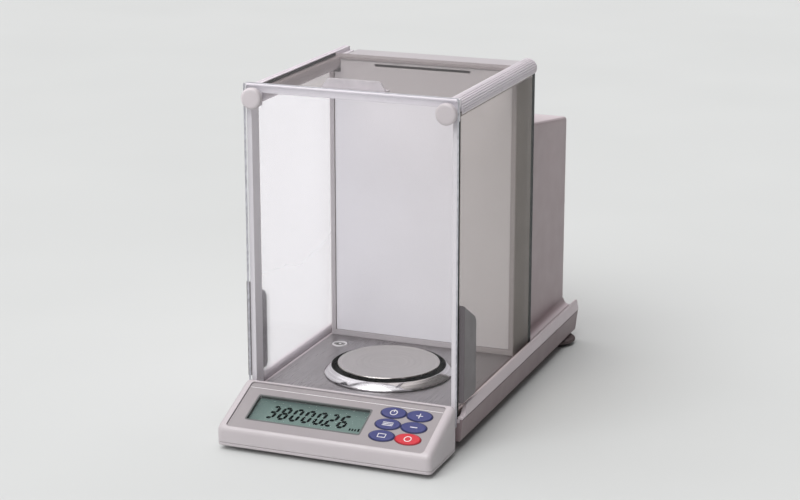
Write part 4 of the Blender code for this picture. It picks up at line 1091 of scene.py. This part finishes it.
def light(name, place, target, size, power, colour=(1, 1, 1)):
    data = bpy.data.lights.new(name, "AREA")
    data.shape = "RECTANGLE"
    data.size, data.size_y = size
    data.energy = power
    data.color = colour
    obj = bpy.data.objects.new(name, data)
    obj.location = place
    way = Vector(target) - Vector(place)
    obj.rotation_euler = way.to_track_quat("-Z", "Y").to_euler()
    obj.visible_camera = False
    bpy.context.scene.collection.objects.link(obj)
    return obj


def sun(way, strength, spread):
    """A wide, soft light from far away, shining from the direction way."""
    data = bpy.data.lights.new("key_sun", "SUN")
    data.energy = strength
    data.angle = math.radians(spread)
    obj = bpy.data.objects.new("key_sun", data)
    obj.rotation_euler = (-Vector(way)).to_track_quat("-Z", "Y").to_euler()
    obj.location = Vector(way) * 3
    bpy.context.scene.collection.objects.link(obj)


def world(low, high, softbox):
    """A studio that is brightest above and to the left, dim to the right, with a softbox overhead."""
    made = bpy.data.worlds.new("studio")
    made.use_nodes = True
    nodes = made.node_tree.nodes
    links = made.node_tree.links
    background = nodes["Background"]
    background.inputs[0].default_value = (1.0, 0.975, 0.985, 1)
    coords = nodes.new("ShaderNodeTexCoord")

    def ramp(way, start, end, dim, bright):
        """A smooth rise in brightness towards the direction way, from one cosine to another."""
        aim = nodes.new("ShaderNodeVectorMath")
        aim.operation = "DOT_PRODUCT"
        aim.inputs[1].default_value = Vector(way).normalized()
        links.new(coords.outputs["Generated"], aim.inputs[0])
        level = nodes.new("ShaderNodeMapRange")
        level.interpolation_type = "SMOOTHSTEP"
        level.inputs["From Min"].default_value = start
        level.inputs["From Max"].default_value = end
        level.inputs["To Min"].default_value = dim
        level.inputs["To Max"].default_value = bright
        links.new(aim.outputs["Value"], level.inputs["Value"])
        return level.outputs[0]

    rim, core = math.cos(math.radians(46)), math.cos(math.radians(32))
    total = nodes.new("ShaderNodeMath")
    links.new(ramp((-0.62, 0.05, 0.78), -0.2, 0.95, low, high), total.inputs[0])
    links.new(ramp((-0.22, 0.2, 0.95), rim, core, 0, softbox), total.inputs[1])
    links.new(total.outputs[0], background.inputs[1])
    bpy.context.scene.world = made


def light_only(lamp, *objects):
    """Limits a lamp to a few objects, as a flag beside it would in a studio."""
    lit = bpy.data.collections.new("lit_by_" + lamp.name)
    for obj in objects:
        lit.objects.link(obj)
    lamp.light_linking.receiver_collection = lit


stage_floor()
world(0.10, 0.56, 0.8)
sun((-0.12, -0.62, 0.76), 1.95, 50)
side = light("left_glass_softbox", (-1.3, 0.1, 0.5), (0, 0.05, 0.15), (0.8, 0.8), 21, (1, 0.965, 0.98))
light_only(side, NODES["side_door_left"])
corner = light("left_corner_softbox", (-1.0, -0.5, 0.9), (-0.09, -0.1, 0.28), (0.6, 0.6), 5, (1, 0.98, 1))
light_only(
    corner,
    NODES["top_header"],
    bpy.data.objects["fluted_rail_left"],
    bpy.data.objects["ringed_front_knob_left"],
)

# The camera stands to the right of the front, as in the photograph
AZIMUTH = math.radians(21.5823)
ELEVATION = math.radians(15.7190)
DISTANCE = 1.83
TARGET = Vector((-0.00669, -0.00621, 0.13167))
camera_data = bpy.data.cameras.new("camera")
camera_data.lens = 93.0996
camera_data.sensor_width = 36
camera_data.clip_start = 0.05
camera = bpy.data.objects.new("camera", camera_data)
camera.location = TARGET + DISTANCE * Vector(
    (
        math.sin(AZIMUTH) * math.cos(ELEVATION),
        -math.cos(AZIMUTH) * math.cos(ELEVATION),
        math.sin(ELEVATION),
    )
)
camera.rotation_euler = (TARGET - camera.location).to_track_quat("-Z", "Y").to_euler()
bpy.context.scene.collection.objects.link(camera)
bpy.context.scene.camera = camera
bpy.context.scene.view_settings.view_transform = "Standard"
bpy.context.scene.cycles.max_bounces = 8
bpy.context.scene.cycles.transparent_max_bounces = 24
